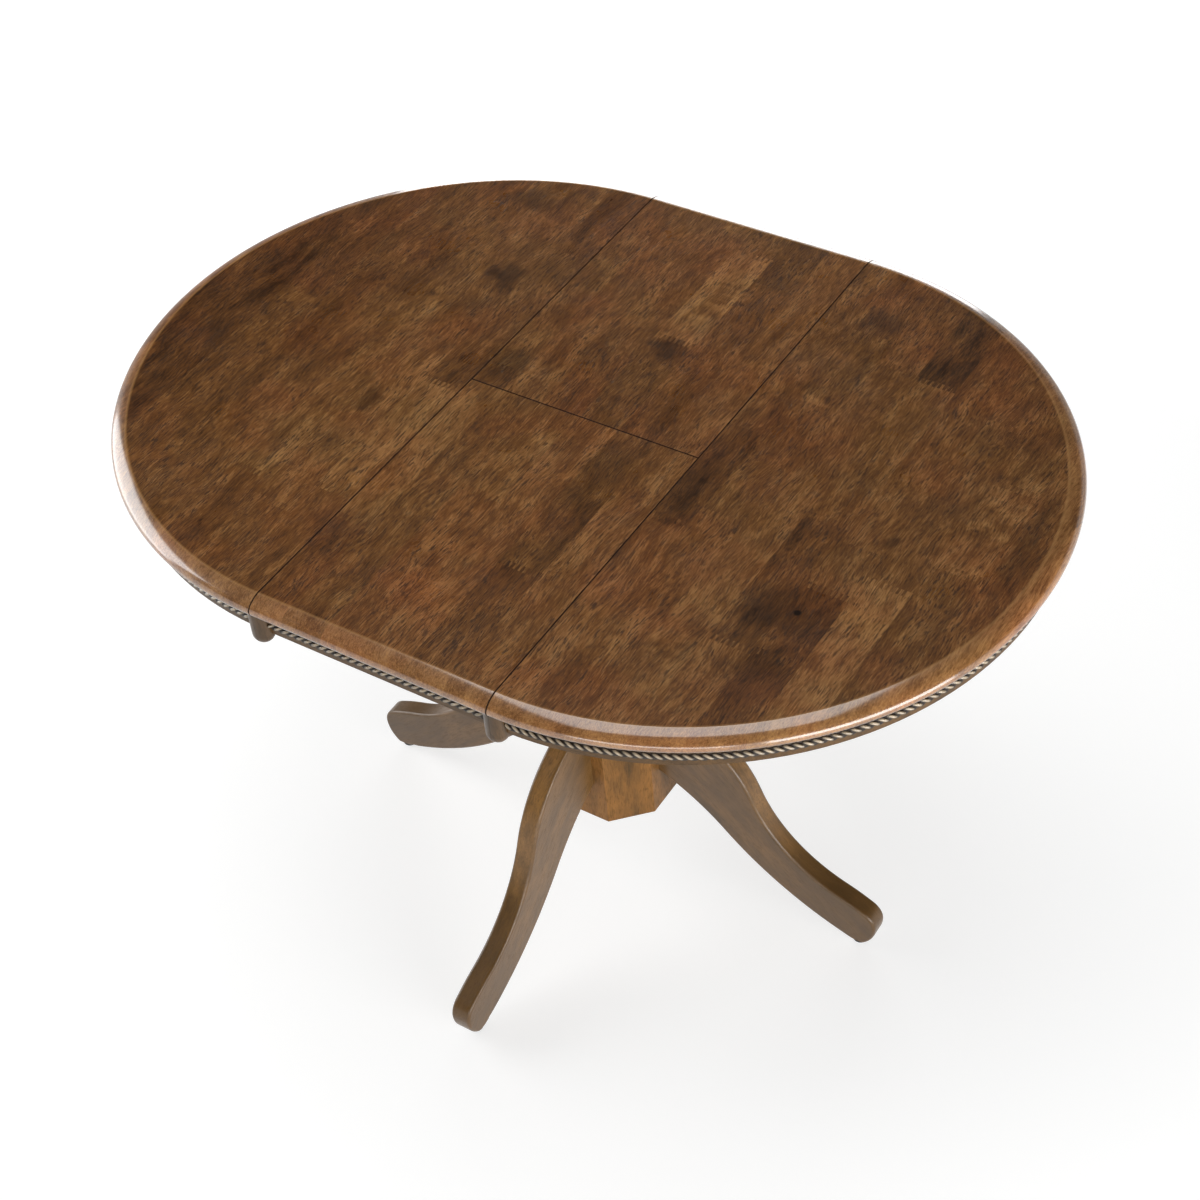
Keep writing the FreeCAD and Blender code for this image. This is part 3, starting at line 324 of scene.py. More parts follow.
def make_grain_group():
    """Wood grain that runs along Y: streaks, broad figure, mottle, pores, curl and smudges."""
    tree, given, out = group(
        "Wood grain", [("Vector", "Vector", None), ("Seed", "Float", 0.0)],
        [(label, "Float") for label in ("Streaks", "Figure", "Mottle", "Pores", "Curl", "Smudges",
                                        "Height")])
    seed = add(tree, "VectorMath", {0: (3.1, 7.7, 5.3), "Scale": given["Seed"]},
               operation="SCALE").outputs[0]
    place = vector_node(tree, "ADD", given["Vector"], seed)
    wander = add(tree, "TexNoise", {"Vector": place, "Scale": 5.0, "Detail": 2.0}).outputs["Color"]
    sway = vector_node(tree, "SUBTRACT", wander, (0.5, 0.5, 0.5))
    bent = vector_node(tree, "MULTIPLY_ADD", sway, (0.03, 0.0, 0.03), place)
    grain = {name: noise(tree, bent, 1.0, *values) for name, values in GRAIN_NOISES.items()}
    mixed = math_node(tree, "MULTIPLY_ADD", grain["streaks"], 0.55, times(tree, grain["fine"], 0.45))
    marks = math_node(tree, "MAXIMUM", spread(tree, grain["ticks"], 0.55, 0.60),
                      spread(tree, grain["lines"], 0.60, 0.66, 0.0, 0.8))
    pores = times(tree, marks, spread(tree, grain["figure"], 0.38, 0.60, 0.45, 1.0))
    height = math_node(tree, "SUBTRACT", mixed, times(tree, pores, 0.8))
    curl = spread(tree, grain["curl"], 0.34, 0.66, -0.5, 0.5)
    smudges = spread(tree, grain["smudge"], 0.60, 0.74)
    feed(tree, out, {"Streaks": mixed, "Figure": grain["figure"], "Mottle": grain["mottle"],
                     "Pores": pores, "Curl": curl, "Smudges": smudges, "Height": height})


def make_rim_group():
    """Where a point of the top lies: on the rim, at its inner line, at a seam or at the fold."""
    tree, given, out = group(
        "Rim distance", [("Vector", "Vector", None), ("Radius", "Float", 0.527),
                         ("Straight", "Float", 0.1905), ("Rim", "Float", 0.024)],
        [("Shoulder", "Float"), ("On rim", "Float"), ("Seam", "Float"), ("Fold", "Float")])
    parts = add(tree, "SeparateXYZ", {0: given["Vector"]}).outputs
    from_middle = math_node(tree, "ABSOLUTE", parts["X"])
    from_seam = math_node(tree, "SUBTRACT", from_middle, given["Straight"])
    along = math_node(tree, "MAXIMUM", from_seam, 0.0)
    flat = add(tree, "CombineXYZ", {"X": along, "Y": parts["Y"]}).outputs[0]
    far = add(tree, "VectorMath", {0: flat}, operation="LENGTH").outputs["Value"]
    inside = math_node(tree, "SUBTRACT", given["Radius"], far)
    inside = math_node(tree, "SUBTRACT", inside, given["Rim"])
    off_line = math_node(tree, "ABSOLUTE", inside)
    off_seam = math_node(tree, "ABSOLUTE", from_seam)
    off_fold = math_node(tree, "ABSOLUTE", parts["Y"])
    feed(tree, out, {"Shoulder": spread(tree, off_line, 0.0008, 0.0030, 1.0, 0.0),
                     "On rim": spread(tree, inside, 0.0, 0.003, 1.0, 0.0),
                     "Seam": spread(tree, off_seam, 0.0007, 0.0016, 1.0, 0.0),
                     "Fold": spread(tree, off_fold, 0.0007, 0.0016, 1.0, 0.0)})


def make_mark_group():
    """A soft-edged mark of a given place and size, seen from above."""
    tree, given, out = group(
        "Mark", [("Vector", "Vector", None), ("Place", "Vector", None), ("Size", "Vector", None),
                 ("Strength", "Float", 1.0)], [("Mask", "Float")])
    wobble = add(tree, "TexNoise", {"Vector": given["Vector"], "Scale": 32.0, "Detail": 3.0})
    bend = vector_node(tree, "SUBTRACT", wobble.outputs["Color"], (0.5, 0.5, 0.5))
    away = vector_node(tree, "SUBTRACT", given["Vector"], given["Place"])
    away = vector_node(tree, "DIVIDE", away, given["Size"])
    away = vector_node(tree, "MULTIPLY_ADD", bend, (1.7, 1.7, 0.0), away)
    far = add(tree, "VectorMath", {0: away}, operation="LENGTH").outputs["Value"]
    mask = times(tree, spread(tree, far, 0.45, 1.15, 1.0, 0.0), given["Strength"])
    feed(tree, out, {"Mask": mask})


def material(name):
    """A new material, its tree and its Principled shader."""
    made = bpy.data.materials.new(name)
    made.use_nodes = True
    return made, made.node_tree, made.node_tree.nodes["Principled BSDF"]


def object_vector(tree, turn=(0.0, 0.0, 0.0)):
    """Object coordinates, turned so that the grain runs along Y."""
    vector = add(tree, "TexCoord").outputs["Object"]
    if any(turn):
        vector = add(tree, "Mapping", {"Vector": vector, "Rotation": turn}).outputs[0]
    return vector


def attribute(tree, name):
    """A value that the mesh carries on its faces."""
    return add(tree, "Attribute", attribute_name=name).outputs["Fac"]


def relief(tree, shader, height, strength, distance):
    """A bump for the shader's normal."""
    bump = add(tree, "Bump", {"Height": height, "Strength": strength, "Distance": distance})
    feed(tree, shader, {"Normal": bump.outputs[0]})


def all_marks(tree, vector, marks, height):
    """The strongest of several marks at each point of the top."""
    strongest = 0.0
    for x, y, wide, long, strength in marks:
        mask = place_group(tree, "Mark", {"Vector": vector, "Place": (x * MM, y * MM, height),
                                          "Size": (wide * MM, long * MM, 1.0),
                                          "Strength": strength})["Mask"]
        strongest = math_node(tree, "MAXIMUM", strongest, mask)
    return strongest


def make_top_finish(name, marks, colours, sizes):
    """Stained and lacquered strips: every piece has its own tone, grain and redness."""
    made, tree, shader = material(name)
    vector = object_vector(tree)
    seed = attribute(tree, "board_seed")
    grain = place_group(tree, "Wood grain", {"Vector": vector, "Seed": seed})
    rim = place_group(tree, "Rim distance", {"Vector": vector, "Radius": sizes.top_radius,
                                             "Straight": sizes.half_seam, "Rim": sizes.rim_width})
    contrast = times(tree, colours.board_contrast,
                     math_node(tree, "MULTIPLY_ADD", rim["On rim"], -0.6, 1.0))
    tone = math_node(tree, "SUBTRACT", attribute(tree, "board_tone"), 0.5)
    tone = math_node(tree, "MULTIPLY_ADD", tone, contrast, 0.5)
    for part, share in TONE_SHARES:
        tone = math_node(tree, "ADD", tone,
                         math_node(tree, "MULTIPLY_ADD", grain[part], share, -0.5 * share))
    curly = all_marks(tree, vector, CURLY_MARKS[marks], sizes.top_height)
    curly = math_node(tree, "ADD", curly, 0.10)
    curly = times(tree, grain["Curl"], curly)
    tone = math_node(tree, "MULTIPLY_ADD", curly, 0.42, tone)
    # The rim is made lighter: partly its own paler wood, partly painted light where the rim slopes
    # out towards the lamps.
    tone = math_node(tree, "MULTIPLY_ADD", rim["On rim"], 0.22, tone)
    ramp = add(tree, "ValToRGB", {"Fac": tone})
    ramp.color_ramp.elements[0].color = (*colours.board_dark, 1.0)
    ramp.color_ramp.elements[1].color = (*colours.board_light, 1.0)
    ramp.color_ramp.elements.new(0.5).color = (*colours.board_mid, 1.0)
    redness = math_node(tree, "ADD", times(tree, attribute(tree, "board_red"), 0.6),
                        spread(tree, noise(tree, vector, 9.0, 3.0), 0.45, 0.72, 0.0, 0.5))
    colour = tint(tree, redness, ramp.outputs["Color"],
                  tint(tree, 1.0, ramp.outputs["Color"], (1.16, 0.88, 0.90), "MULTIPLY"))
    stains = all_marks(tree, vector, DARK_MARKS[marks], sizes.top_height)
    dark = math_node(tree, "MULTIPLY_ADD", grain["Smudges"], 0.30, stains, clamp=True)
    colour = tint(tree, times(tree, dark, 0.9), colour, colours.board_dark)
    pores = times(tree, grain["Pores"], math_node(tree, "MULTIPLY_ADD", rim["On rim"], -0.55, 0.75))
    colour = tint(tree, pores, colour, colours.board_dark)
    # Painted highlight: a pale line of the light board colour along the rim's inner shoulder, where
    # the rounded edge catches the light.
    painted_shoulder_highlight = times(tree, rim["Shoulder"], 0.38)
    colour = tint(tree, painted_shoulder_highlight, colour, colours.board_light)
    gap = rim["Seam"]
    if marks == "leaf":
        gap = math_node(tree, "MAXIMUM", gap, rim["Fold"])
    # Painted shade: the seams, and the leaf's fold, are painted near black as the shadow inside the
    # gap between the parts; a mark given a strength above one adds the dark hole of a knot.
    gap_shade_and_knot_hole = math_node(tree, "MAXIMUM", gap, spread(tree, stains, 1.0, 1.6))
    colour = tint(tree, times(tree, gap_shade_and_knot_hole, 0.95), colour, darker(colours.board_dark, 0.35))
    nose = sizes.top_height - sizes.rim_nose
    height = add(tree, "SeparateXYZ", {0: vector}).outputs["Z"]
    # Painted shade: the rim's underside below its nose fades to the dark board colour, as shade where
    # it faces down.
    painted_under_nose_shade = spread(tree, height, nose - 0.004, nose - 0.0005, 0.65, 0.0)
    colour = tint(tree, painted_under_nose_shade, colour, colours.board_dark)
    rough = math_node(tree, "MULTIPLY_ADD", grain["Pores"], 0.15,
                      spread(tree, noise(tree, vector, 14.0, 3.0), 0.3, 0.7, 0.27, 0.36))
    rough = math_node(tree, "MULTIPLY_ADD", gap, 0.65, rough)
    coat = math_node(tree, "MULTIPLY_ADD", rim["On rim"], 0.80, 0.04)
    coat = times(tree, coat, math_node(tree, "SUBTRACT", 1.0, gap))
    feed(tree, shader, {"Base Color": colour, "Roughness": rough, "Specular IOR Level": 0.26,
                        "Coat Weight": coat, "Coat IOR": 1.9, "Coat Roughness": 0.13})
    relief(tree, shader, grain["Height"], 0.25, 0.0005)
    return made


def make_wood_finish(name, dark, light, turn=(0.0, 0.0, 0.0), seed=0.0, gloss=0.36, coat=0.2,
                     smudge=0.5, shine=0.42, half_leg=None):
    """Stained or plain wood of one piece, its grain turned to run along the piece.

    A leg gives its half size in X and Y: its side faces and its foot stay darker."""
    made, tree, shader = material(name)
    vector = object_vector(tree, turn)
    grain = place_group(tree, "Wood grain", {"Vector": vector, "Seed": seed})
    tone = math_node(tree, "MULTIPLY_ADD", grain["Streaks"], 0.7, times(tree, grain["Mottle"], 0.6))
    tone = math_node(tree, "MULTIPLY_ADD", grain["Figure"], 0.9, tone)
    colour = tint(tree, spread(tree, tone, 0.82, 1.38), dark, light)
    colour = tint(tree, times(tree, grain["Smudges"], smudge), colour, dark)
    colour = tint(tree, times(tree, grain["Pores"], 0.30), colour, darker(dark, 0.4))
    if half_leg:
        parts = add(tree, "SeparateXYZ", {0: object_vector(tree)}).outputs
        across, along = ("X", "Y") if half_leg.x < half_leg.y else ("Y", "X")
        half = min(half_leg.x, half_leg.y)
        sides = spread(tree, math_node(tree, "ABSOLUTE", parts[across]), half - 0.007, half - 0.002,
                       0.0, 0.5)
        foot = spread(tree, math_node(tree, "ABSOLUTE", parts[along]), 0.27, 0.36, 0.0, 0.7)
        colour = tint(tree, math_node(tree, "MAXIMUM", sides, foot), colour, dark)
    rough = math_node(tree, "MULTIPLY_ADD", grain["Pores"], 0.15, gloss)
    feed(tree, shader, {"Base Color": colour, "Roughness": rough, "Specular IOR Level": shine,
                        "Coat Weight": coat, "Coat Roughness": 0.22})
    relief(tree, shader, grain["Height"], 0.15, 0.0005)
    return made


def make_rope_finish(colours):
    """The rope moulding: grooves dark with stain and painted shade, lobes lighter with a painted
    highlight on their side that faces up and out.
    """
    made, tree, shader = material("Rope moulding")
    vector = object_vector(tree)
    mottle = noise(tree, vector, 60.0, 3.0)
    lit_lobe_mask = times(tree, spread(tree, attribute(tree, "rope_crest"), 0.35, 0.95),
                  spread(tree, mottle, 0.3, 0.7, 0.75, 1.1), clamp=True)
    colour = tint(tree, lit_lobe_mask, colours.rope_groove_stain_and_shade, colours.rope_lobe_and_highlight)
    feed(tree, shader, {"Base Color": colour, "Roughness": spread(tree, lit_lobe_mask, 0.0, 0.6, 0.60, 0.26),
                        "Specular IOR Level": 0.4, "Coat Roughness": 0.12,
                        "Coat Weight": times(tree, lit_lobe_mask, 0.7)})
    return made


def make_metal_finish(name, colour, roughness, metallic=1.0):
    """Plated metal or moulded plastic with a fine uneven surface."""
    made, tree, shader = material(name)
    vector = object_vector(tree)
    cloud = noise(tree, vector, 45.0, 3.0)
    fine = noise(tree, vector, 900.0, 2.0)
    dull = darker(colour, 0.72)
    rough = spread(tree, fine, 0.2, 0.8, roughness - 0.06, roughness + 0.08)
    feed(tree, shader, {"Base Color": tint(tree, spread(tree, cloud, 0.3, 0.7), dull, colour),
                        "Roughness": rough, "Metallic": metallic})
    relief(tree, shader, fine, 0.1, 0.0001)
    return made


# Shapes

def finish_piece(bm, name, sharp_angle):
    """Turn a bmesh into an object at the origin, smooth but for its sharp edges."""
    mesh = bpy.data.meshes.new(name)
    bm.to_mesh(mesh)
    bm.free()
    mesh.shade_smooth()
    mesh.set_sharp_from_angle(angle=sharp_angle)
    made = bpy.data.objects.new(name, mesh)
    bpy.context.scene.collection.objects.link(made)
    return made


def draw_line(bm, vertex, end):
    """Go on from a vertex by a straight edge."""
    made = bmesh.ops.extrude_vert_indiv(bm, verts=[vertex])["verts"][0]
    made.co = end
    return made


def draw_oval(bm, vertex, centre, across, upward, start, end, steps):
    """Go on from a vertex along part of an oval; angles are counted from its crown."""
    for step in range(1, steps + 1):
        turn = start + (end - start) * step / steps
        reach = Vector((0, across * math.sin(turn), upward * math.cos(turn)))
        vertex = draw_line(bm, vertex, centre + reach)
    return vertex


def circle_centre(start, middle, end):
    """The centre of a circle through three points of the plane across X."""
    first, second = middle - start, end - middle
    system = Matrix(((first.y, first.z), (second.y, second.z)))
    halves = Vector((first.dot((start + middle) / 2), second.dot((middle + end) / 2)))
    found = system.inverted() @ halves
    return Vector((start.x, found.x, found.y))


def draw_rim(bm, sizes, inner, under, x=0.0):
    """The rim's section, from the inner end of the top face to that of the underside."""
    top, edge, start = sizes.top_height, sizes.top_radius, sizes.rim_start
    low = top - sizes.rim_nose
    across = sizes.rim_width / (1 - math.sin(start))
    upward = sizes.rim_nose / math.cos(start)
    vertex = bm.verts.new((x, inner, top))
    vertex = draw_line(bm, vertex, Vector((x, edge - sizes.rim_width, top)))
    vertex = draw_oval(bm, vertex, Vector((x, edge - across, low)), across, upward, start,
                       math.pi / 2, RIM_STEPS)
    corner = math.cos(math.pi / 4)
    middle = Vector((x, edge - sizes.rim_under * (1 - corner), low - (low - under) * corner))
    end = Vector((x, edge - sizes.rim_under, under))
    centre = circle_centre(vertex.co, middle, end)
    radius = (end - centre).length
    turns = [math.atan2(point.y - centre.y, point.z - centre.z) % math.tau
             for point in (vertex.co, end)]
    vertex = draw_oval(bm, vertex, centre, radius, radius, *turns, RIM_UNDER_STEPS)
    return draw_line(bm, vertex, Vector((x, inner, under)))


def cut_faces(bm, faces, point, direction):
    """Cut some faces along a plane and leave the others whole."""
    edges = {edge for face in faces for edge in face.edges}
    verts = {vert for face in faces for vert in face.verts}
    bmesh.ops.bisect_plane(bm, geom=[*verts, *edges, *faces], dist=MM / 100, plane_co=point,
                           plane_no=direction)


def lay_boards(bm, section, sizes):
    """Cut a top into strips whose pieces are finger-jointed, and note each face's piece."""
    first, width, strips = SECTIONS[section]
    joints = [(first + width * number) * MM for number in range(len(strips) - 1)]
    for x in joints:
        cut_faces(bm, bm.faces[:], (x, 0, 0), (1, 0, 0))
    reach, tooth = sizes.finger_long / 2, sizes.finger_wide
    for number, pieces in enumerate(strips):
        for piece in pieces[:-1]:
            end = piece[0] * MM
            strip = [face for face in bm.faces if strip_of(face, joints) == number]
            cut_faces(bm, strip, (0, end + reach, 0), (0, 1, 0))
            strip = [face for face in bm.faces if strip_of(face, joints) == number]
            cut_faces(bm, strip, (0, end - reach, 0), (0, 1, 0))
            left = joints[number - 1] if number else joints[0] - width * MM
            for count in range(1, round(width * MM / tooth)):
                teeth = [face for face in bm.faces if face.normal.z > 0.5
                         and abs(face.calc_center_median().y - end) < reach
                         and strip_of(face, joints) == number]
                cut_faces(bm, teeth, (left + count * tooth, 0, 0), (1, 0, 0))
    layers = [bm.faces.layers.float.new("board_" + name) for name in ("tone", "red", "seed")]
    for face in bm.faces:
        number = strip_of(face, joints)
        pieces = strips[number]
        middle = face.calc_center_median()
        way = 1 if math.floor(middle.x / tooth) % 2 else -1
        y = middle.y + way * reach if face.normal.z > 0.5 else middle.y
        index = min(sum(y < piece[0] * MM for piece in pieces), len(pieces) - 1)
        seed = (number * 5 + index * 3 + len(section) * 7) % 31
        for layer, value in zip(layers, (*pieces[index][1:], seed)):
            face[layer] = value


def strip_of(face, joints):
    """The number of the strip that a face belongs to."""
    return sum(face.calc_center_median().x > x for x in joints)


def bevel_edges(bm, chosen, width, segments=2):
    """Round off the chosen edges."""
    bmesh.ops.bevel(bm, geom=chosen, offset=width, segments=segments, profile=0.5, affect="EDGES",
                    material=-1)


def half_top(side, sizes):
    """One half of the top: the rim's section spun half a turn, closed and eased at the seam."""
    way = -1 if side == "left" else 1
    bm = bmesh.new()
    draw_rim(bm, sizes, 0.0, sizes.half_underside)
    bmesh.ops.spin(bm, geom=bm.verts[:] + bm.edges[:], cent=(0, 0, 0), axis=(0, 0, 1),
                   angle=-way * math.pi, steps=sizes.turn_steps)
    bmesh.ops.remove_doubles(bm, verts=bm.verts, dist=MM / 100)
    bmesh.ops.contextual_create(bm, geom=[edge for edge in bm.edges if edge.is_boundary])
    bmesh.ops.translate(bm, verts=bm.verts, vec=(way * sizes.half_seam, 0, 0))
    bmesh.ops.recalc_face_normals(bm, faces=bm.faces)
    seam = [edge for edge in bm.edges
            if all(abs(v.co.x - way * sizes.half_seam) < MM / 100
                   and abs(v.co.z - sizes.top_height) < MM / 100 for v in edge.verts)]
    bevel_edges(bm, seam, sizes.seam_ease)
    lay_boards(bm, side, sizes)
    return finish_piece(bm, "top_%s_boards" % side, BOARD_SHARP)


def leaf_board(name, sizes):
    """One board of the leaf: the rim's section pushed across, eased on its three inner edges."""
    bm = bmesh.new()
    draw_rim(bm, sizes, sizes.leaf_fold, sizes.leaf_underside, -sizes.leaf_seam)
    ends = [vert for vert in bm.verts if len(vert.link_edges) == 1]
    bm.edges.new(ends)
    made = bmesh.ops.contextual_create(bm, geom=bm.edges[:])["faces"]
    pushed = bmesh.ops.extrude_face_region(bm, geom=made)["geom"]
    bmesh.ops.translate(bm, verts=[item for item in pushed if isinstance(item, bmesh.types.BMVert)],
                        vec=(2 * sizes.leaf_seam, 0, 0))
    flat_end = sizes.top_radius - sizes.rim_width
    upper = [edge for edge in bm.edges
             if all(abs(v.co.z - sizes.top_height) < MM / 100 for v in edge.verts)
             and not all(abs(v.co.y - flat_end) < MM / 100 for v in edge.verts)]
    bevel_edges(bm, upper, sizes.seam_ease)
    if name == "front":
        bmesh.ops.mirror(bm, geom=bm.verts[:] + bm.edges[:] + bm.faces[:], axis="Y",
                         matrix=Matrix.Identity(4), merge_dist=0.0)
        kept = [face for face in bm.faces if face.calc_center_median().y > 0]
        bmesh.ops.delete(bm, geom=kept, context="FACES")
    bmesh.ops.recalc_face_normals(bm, faces=bm.faces)
    lay_boards(bm, "leaf_" + name, sizes)
    return finish_piece(bm, "leaf_%s_boards" % name, BOARD_SHARP)


def shape_rope(bm, sizes, run_of):
    """Press the lobes of a three-strand rope into a plain half-round strip.

    For a place, run_of gives how far along the strip it lies, the way out and the strip's back."""
    lay = 3 * sizes.rope_pitch
    layer = bm.verts.layers.float.new("rope_crest")
    for vert in bm.verts:
        run, out, back = run_of(vert.co)
        out_by, up_by = (vert.co - back).dot(out), vert.co.z - sizes.rope_height
        if out_by < MM / 10:
            continue
        angle = math.atan2(up_by, out_by)
        step = (angle - math.tau * run / lay + math.pi / 3) % (math.tau / 3) - math.pi / 3
        inside = ROPE_STRAND ** 2 - (ROPE_CENTRE * math.sin(step)) ** 2
        share = max(ROPE_CENTRE * math.cos(step) + math.sqrt(max(inside, 0.0)), ROPE_GROOVE)
        # Painted light: the lobes are lit only round the given direction, facing up and out, as a
        # painted highlight; above and below it, under the top and towards the floor, they fall to the
        # groove colour as painted shade.
        lit_side = max(math.cos(1.35 * (angle - ROPE_HIGHLIGHT_ANGLE)), 0.0)
        vert[layer] = (share - ROPE_GROOVE) / (1 - ROPE_GROOVE) * lit_side
        vert.co -= (1 - share) * (out * out_by + Vector((0, 0, up_by)))


def rope_section(bm, sizes, x, y):
    """A half-round section standing out along Y, closed behind."""
    first = bm.verts.new((x, y, sizes.rope_height - sizes.rope_radius))
    made = bmesh.ops.spin(bm, geom=[first], cent=(x, y, sizes.rope_height), axis=(1, 0, 0),
                          angle=math.pi, steps=ROPE_SECTION_STEPS)
    last = [item for item in made["geom_last"] if isinstance(item, bmesh.types.BMVert)][0]
    bm.edges.new((last, first))


def close_ends(bm):
    """Fill the two open ends of a swept strip."""
    loose = [edge for edge in bm.edges if edge.is_boundary]
    bmesh.ops.holes_fill(bm, edges=loose, sides=0)
    bmesh.ops.recalc_face_normals(bm, faces=bm.faces)


def curved_rope(side, sizes):
    """The rope moulding round one half's apron."""
    way = -1 if side == "left" else 1
    low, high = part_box("rope_" + side)
    gap = abs((high.x if way < 0 else low.x) - way * sizes.half_seam)
    trim = math.asin(gap / sizes.apron_radius)
    turn = math.pi - 2 * trim
    long = turn * sizes.apron_radius
    bm = bmesh.new()
    rope_section(bm, sizes, 0.0, sizes.apron_radius)
    bmesh.ops.rotate(bm, verts=bm.verts, cent=(0, 0, 0), matrix=Matrix.Rotation(-way * trim, 3, "Z"))
    bmesh.ops.spin(bm, geom=bm.verts[:] + bm.edges[:], cent=(0, 0, 0), axis=(0, 0, 1),
                   angle=-way * turn, steps=round(long / sizes.rope_pitch * ROPE_LOBE_STEPS))

    def run_of(place):
        out = Vector((place.x, place.y, 0)).normalized()
        turned = math.atan2(way * place.x, place.y)
        return (turned - trim) * sizes.apron_radius, out, out * sizes.apron_radius

    shape_rope(bm, sizes, run_of)
    bmesh.ops.translate(bm, verts=bm.verts, vec=(way * sizes.half_seam, 0, 0))
    close_ends(bm)
    return finish_piece(bm, "rope_%s_twist" % side, ROPE_SHARP)


def straight_rope(name, sizes):
    """The rope moulding along one leaf board's apron."""
    low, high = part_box("leaf_rope_" + name)
    way = 1 if name == "back" else -1
    long = high.x - low.x
    bm = bmesh.new()
    rope_section(bm, sizes, low.x, sizes.apron_radius)
    steps = round(long / sizes.rope_pitch * ROPE_LOBE_STEPS)
    bmesh.ops.spin(bm, geom=bm.verts[:] + bm.edges[:], cent=(0, 0, 0), axis=(1, 0, 0), angle=0.0,
                   dvec=(long / steps, 0, 0), steps=steps)
    if way < 0:
        bmesh.ops.rotate(bm, verts=bm.verts, cent=(0, 0, 0), matrix=Matrix.Rotation(math.pi, 3, "Z"))
    lift = sizes.leaf_underside - sizes.half_underside
    out = Vector((0, way, 0))

    def run_of(place):
        return place.x - low.x, out, out * sizes.apron_radius

    shape_rope(bm, sizes, run_of)
    bmesh.ops.translate(bm, verts=bm.verts, vec=(0, 0, lift))
    close_ends(bm)
    return finish_piece(bm, "leaf_rope_%s_twist" % name, ROPE_SHARP)


def dress(finish, *names):
    """Give CAD nodes a finish."""
    for name in names:
        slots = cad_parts[name].data.materials
        slots.clear()
        slots.append(finish)


def settle(piece, body, node, finish):
    """Let a new piece ride on its body in place of a CAD node."""
    piece.data.materials.append(finish)
    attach(piece, body)
    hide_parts(node)


class TableOperator:
    """What every operator of the table shares."""
    bl_options = {"REGISTER", "UNDO"}

    def execute(self, context):
        self.make(context.scene.table_sizes, context.scene.table_colours)
        return {"FINISHED"}


class OBJECT_OT_table_groups(TableOperator, bpy.types.Operator):
    """Make the node groups that the finishes share"""
    bl_idname = "object.table_groups"
    bl_label = "Shared Grain"

    def make(self, sizes, colours):
        make_grain_group()
        make_rim_group()
        make_mark_group()


class OBJECT_OT_table_top(TableOperator, bpy.types.Operator):
    """Make the two halves of the top"""
    bl_idname = "object.table_top"
    bl_label = "Half Tops"

    def make(self, sizes, colours):
        finish = make_top_finish("Stained top", "halves", colours, sizes)
        for side in ("left", "right"):
            settle(half_top(side, sizes), side + "_half", "top_" + side, finish)


class OBJECT_OT_table_leaf(TableOperator, bpy.types.Operator):
    """Make the two boards of the leaf"""
    bl_idname = "object.table_leaf"
    bl_label = "Leaf Boards"

    def make(self, sizes, colours):
        finish = make_top_finish("Stained leaf", "leaf", colours, sizes)
        for name in ("back", "front"):
            settle(leaf_board(name, sizes), "leaf_" + name, "leaf_board_" + name, finish)


class OBJECT_OT_table_rope(TableOperator, bpy.types.Operator):
    """Make the twisted rope moulding on the aprons"""
    bl_idname = "object.table_rope"
    bl_label = "Rope Moulding"

    def make(self, sizes, colours):
        finish = make_rope_finish(colours)
        for side in ("left", "right"):
            settle(curved_rope(side, sizes), side + "_half", "rope_" + side, finish)
        for name in ("back", "front"):
            settle(straight_rope(name, sizes), "leaf_" + name, "leaf_rope_" + name, finish)


class OBJECT_OT_table_aprons(TableOperator, bpy.types.Operator):
    """Finish the aprons and the posts"""
    bl_idname = "object.table_aprons"
    bl_label = "Aprons and Posts"

    def make(self, sizes, colours):
        dark = darker(colours.base_dark, 0.45)
        light = darker(colours.base_light, 0.45)
        apron = make_wood_finish("Apron", dark, light, ALONG_X, 3.0, 0.42, 0.08, shine=0.3)
        dress(apron, "apron_left", "apron_right", "leaf_apron_front", "leaf_apron_back")
        dull = darker(light, 0.75)
        post = make_wood_finish("Post", dark, dull, UPRIGHT, 5.0, 0.38, 0.10)
        dress(post, "posts_left", "posts_right", "leaf_posts_front", "leaf_posts_back")


class OBJECT_OT_table_pedestal(TableOperator, bpy.types.Operator):
    """Finish the column and the four legs"""
    bl_idname = "object.table_pedestal"
    bl_label = "Pedestal"

    def make(self, sizes, colours):
        warm = [channel * share for channel, share in zip(colours.base_light, (1.02, 0.91, 0.78))]
        column = make_wood_finish("Column", colours.base_dark, warm, UPRIGHT, 7.0, 0.44, 0.02,
                                  shine=0.22)
        dress(column, "column", "column_cap", "column_plug")
        turns = {"right": (0.0, -LEG_SLANT, math.pi / 2), "left": (0.0, LEG_SLANT, math.pi / 2),
                 "back": (LEG_SLANT, 0.0, 0.0), "front": (-LEG_SLANT, 0.0, 0.0)}
        for number, (name, turn) in enumerate(turns.items()):
            low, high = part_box("leg_" + name)
            leg = make_wood_finish("Leg " + name, colours.base_dark, colours.base_light, turn,
                                   11.0 + number, half_leg=(high - low) / 2)
            dress(leg, "leg_" + name)


class OBJECT_OT_table_slides(TableOperator, bpy.types.Operator):
    """Finish the plain wood of the slides and the well"""
    bl_idname = "object.table_slides"
    bl_label = "Slides"

    def make(self, sizes, colours):
        dark = darker(colours.frame_light, 0.7)
        along = make_wood_finish("Slide wood", dark, colours.frame_light, ALONG_X, seed=21.0,
                                 gloss=0.55, coat=0.0, smudge=0.2)
        dress(along, "runner_left_back", "runner_left_front", "runner_right_back",
              "runner_right_front", "slide_rail_front", "slide_rail_back", "leaf_bearer_front",
              "leaf_bearer_back")
        across = make_wood_finish("Cross wood", dark, colours.frame_light, seed=27.0, gloss=0.55,
                                  coat=0.0, smudge=0.2)
        dress(across, "cross_rail_left", "cross_rail_right", "pedestal_plate")


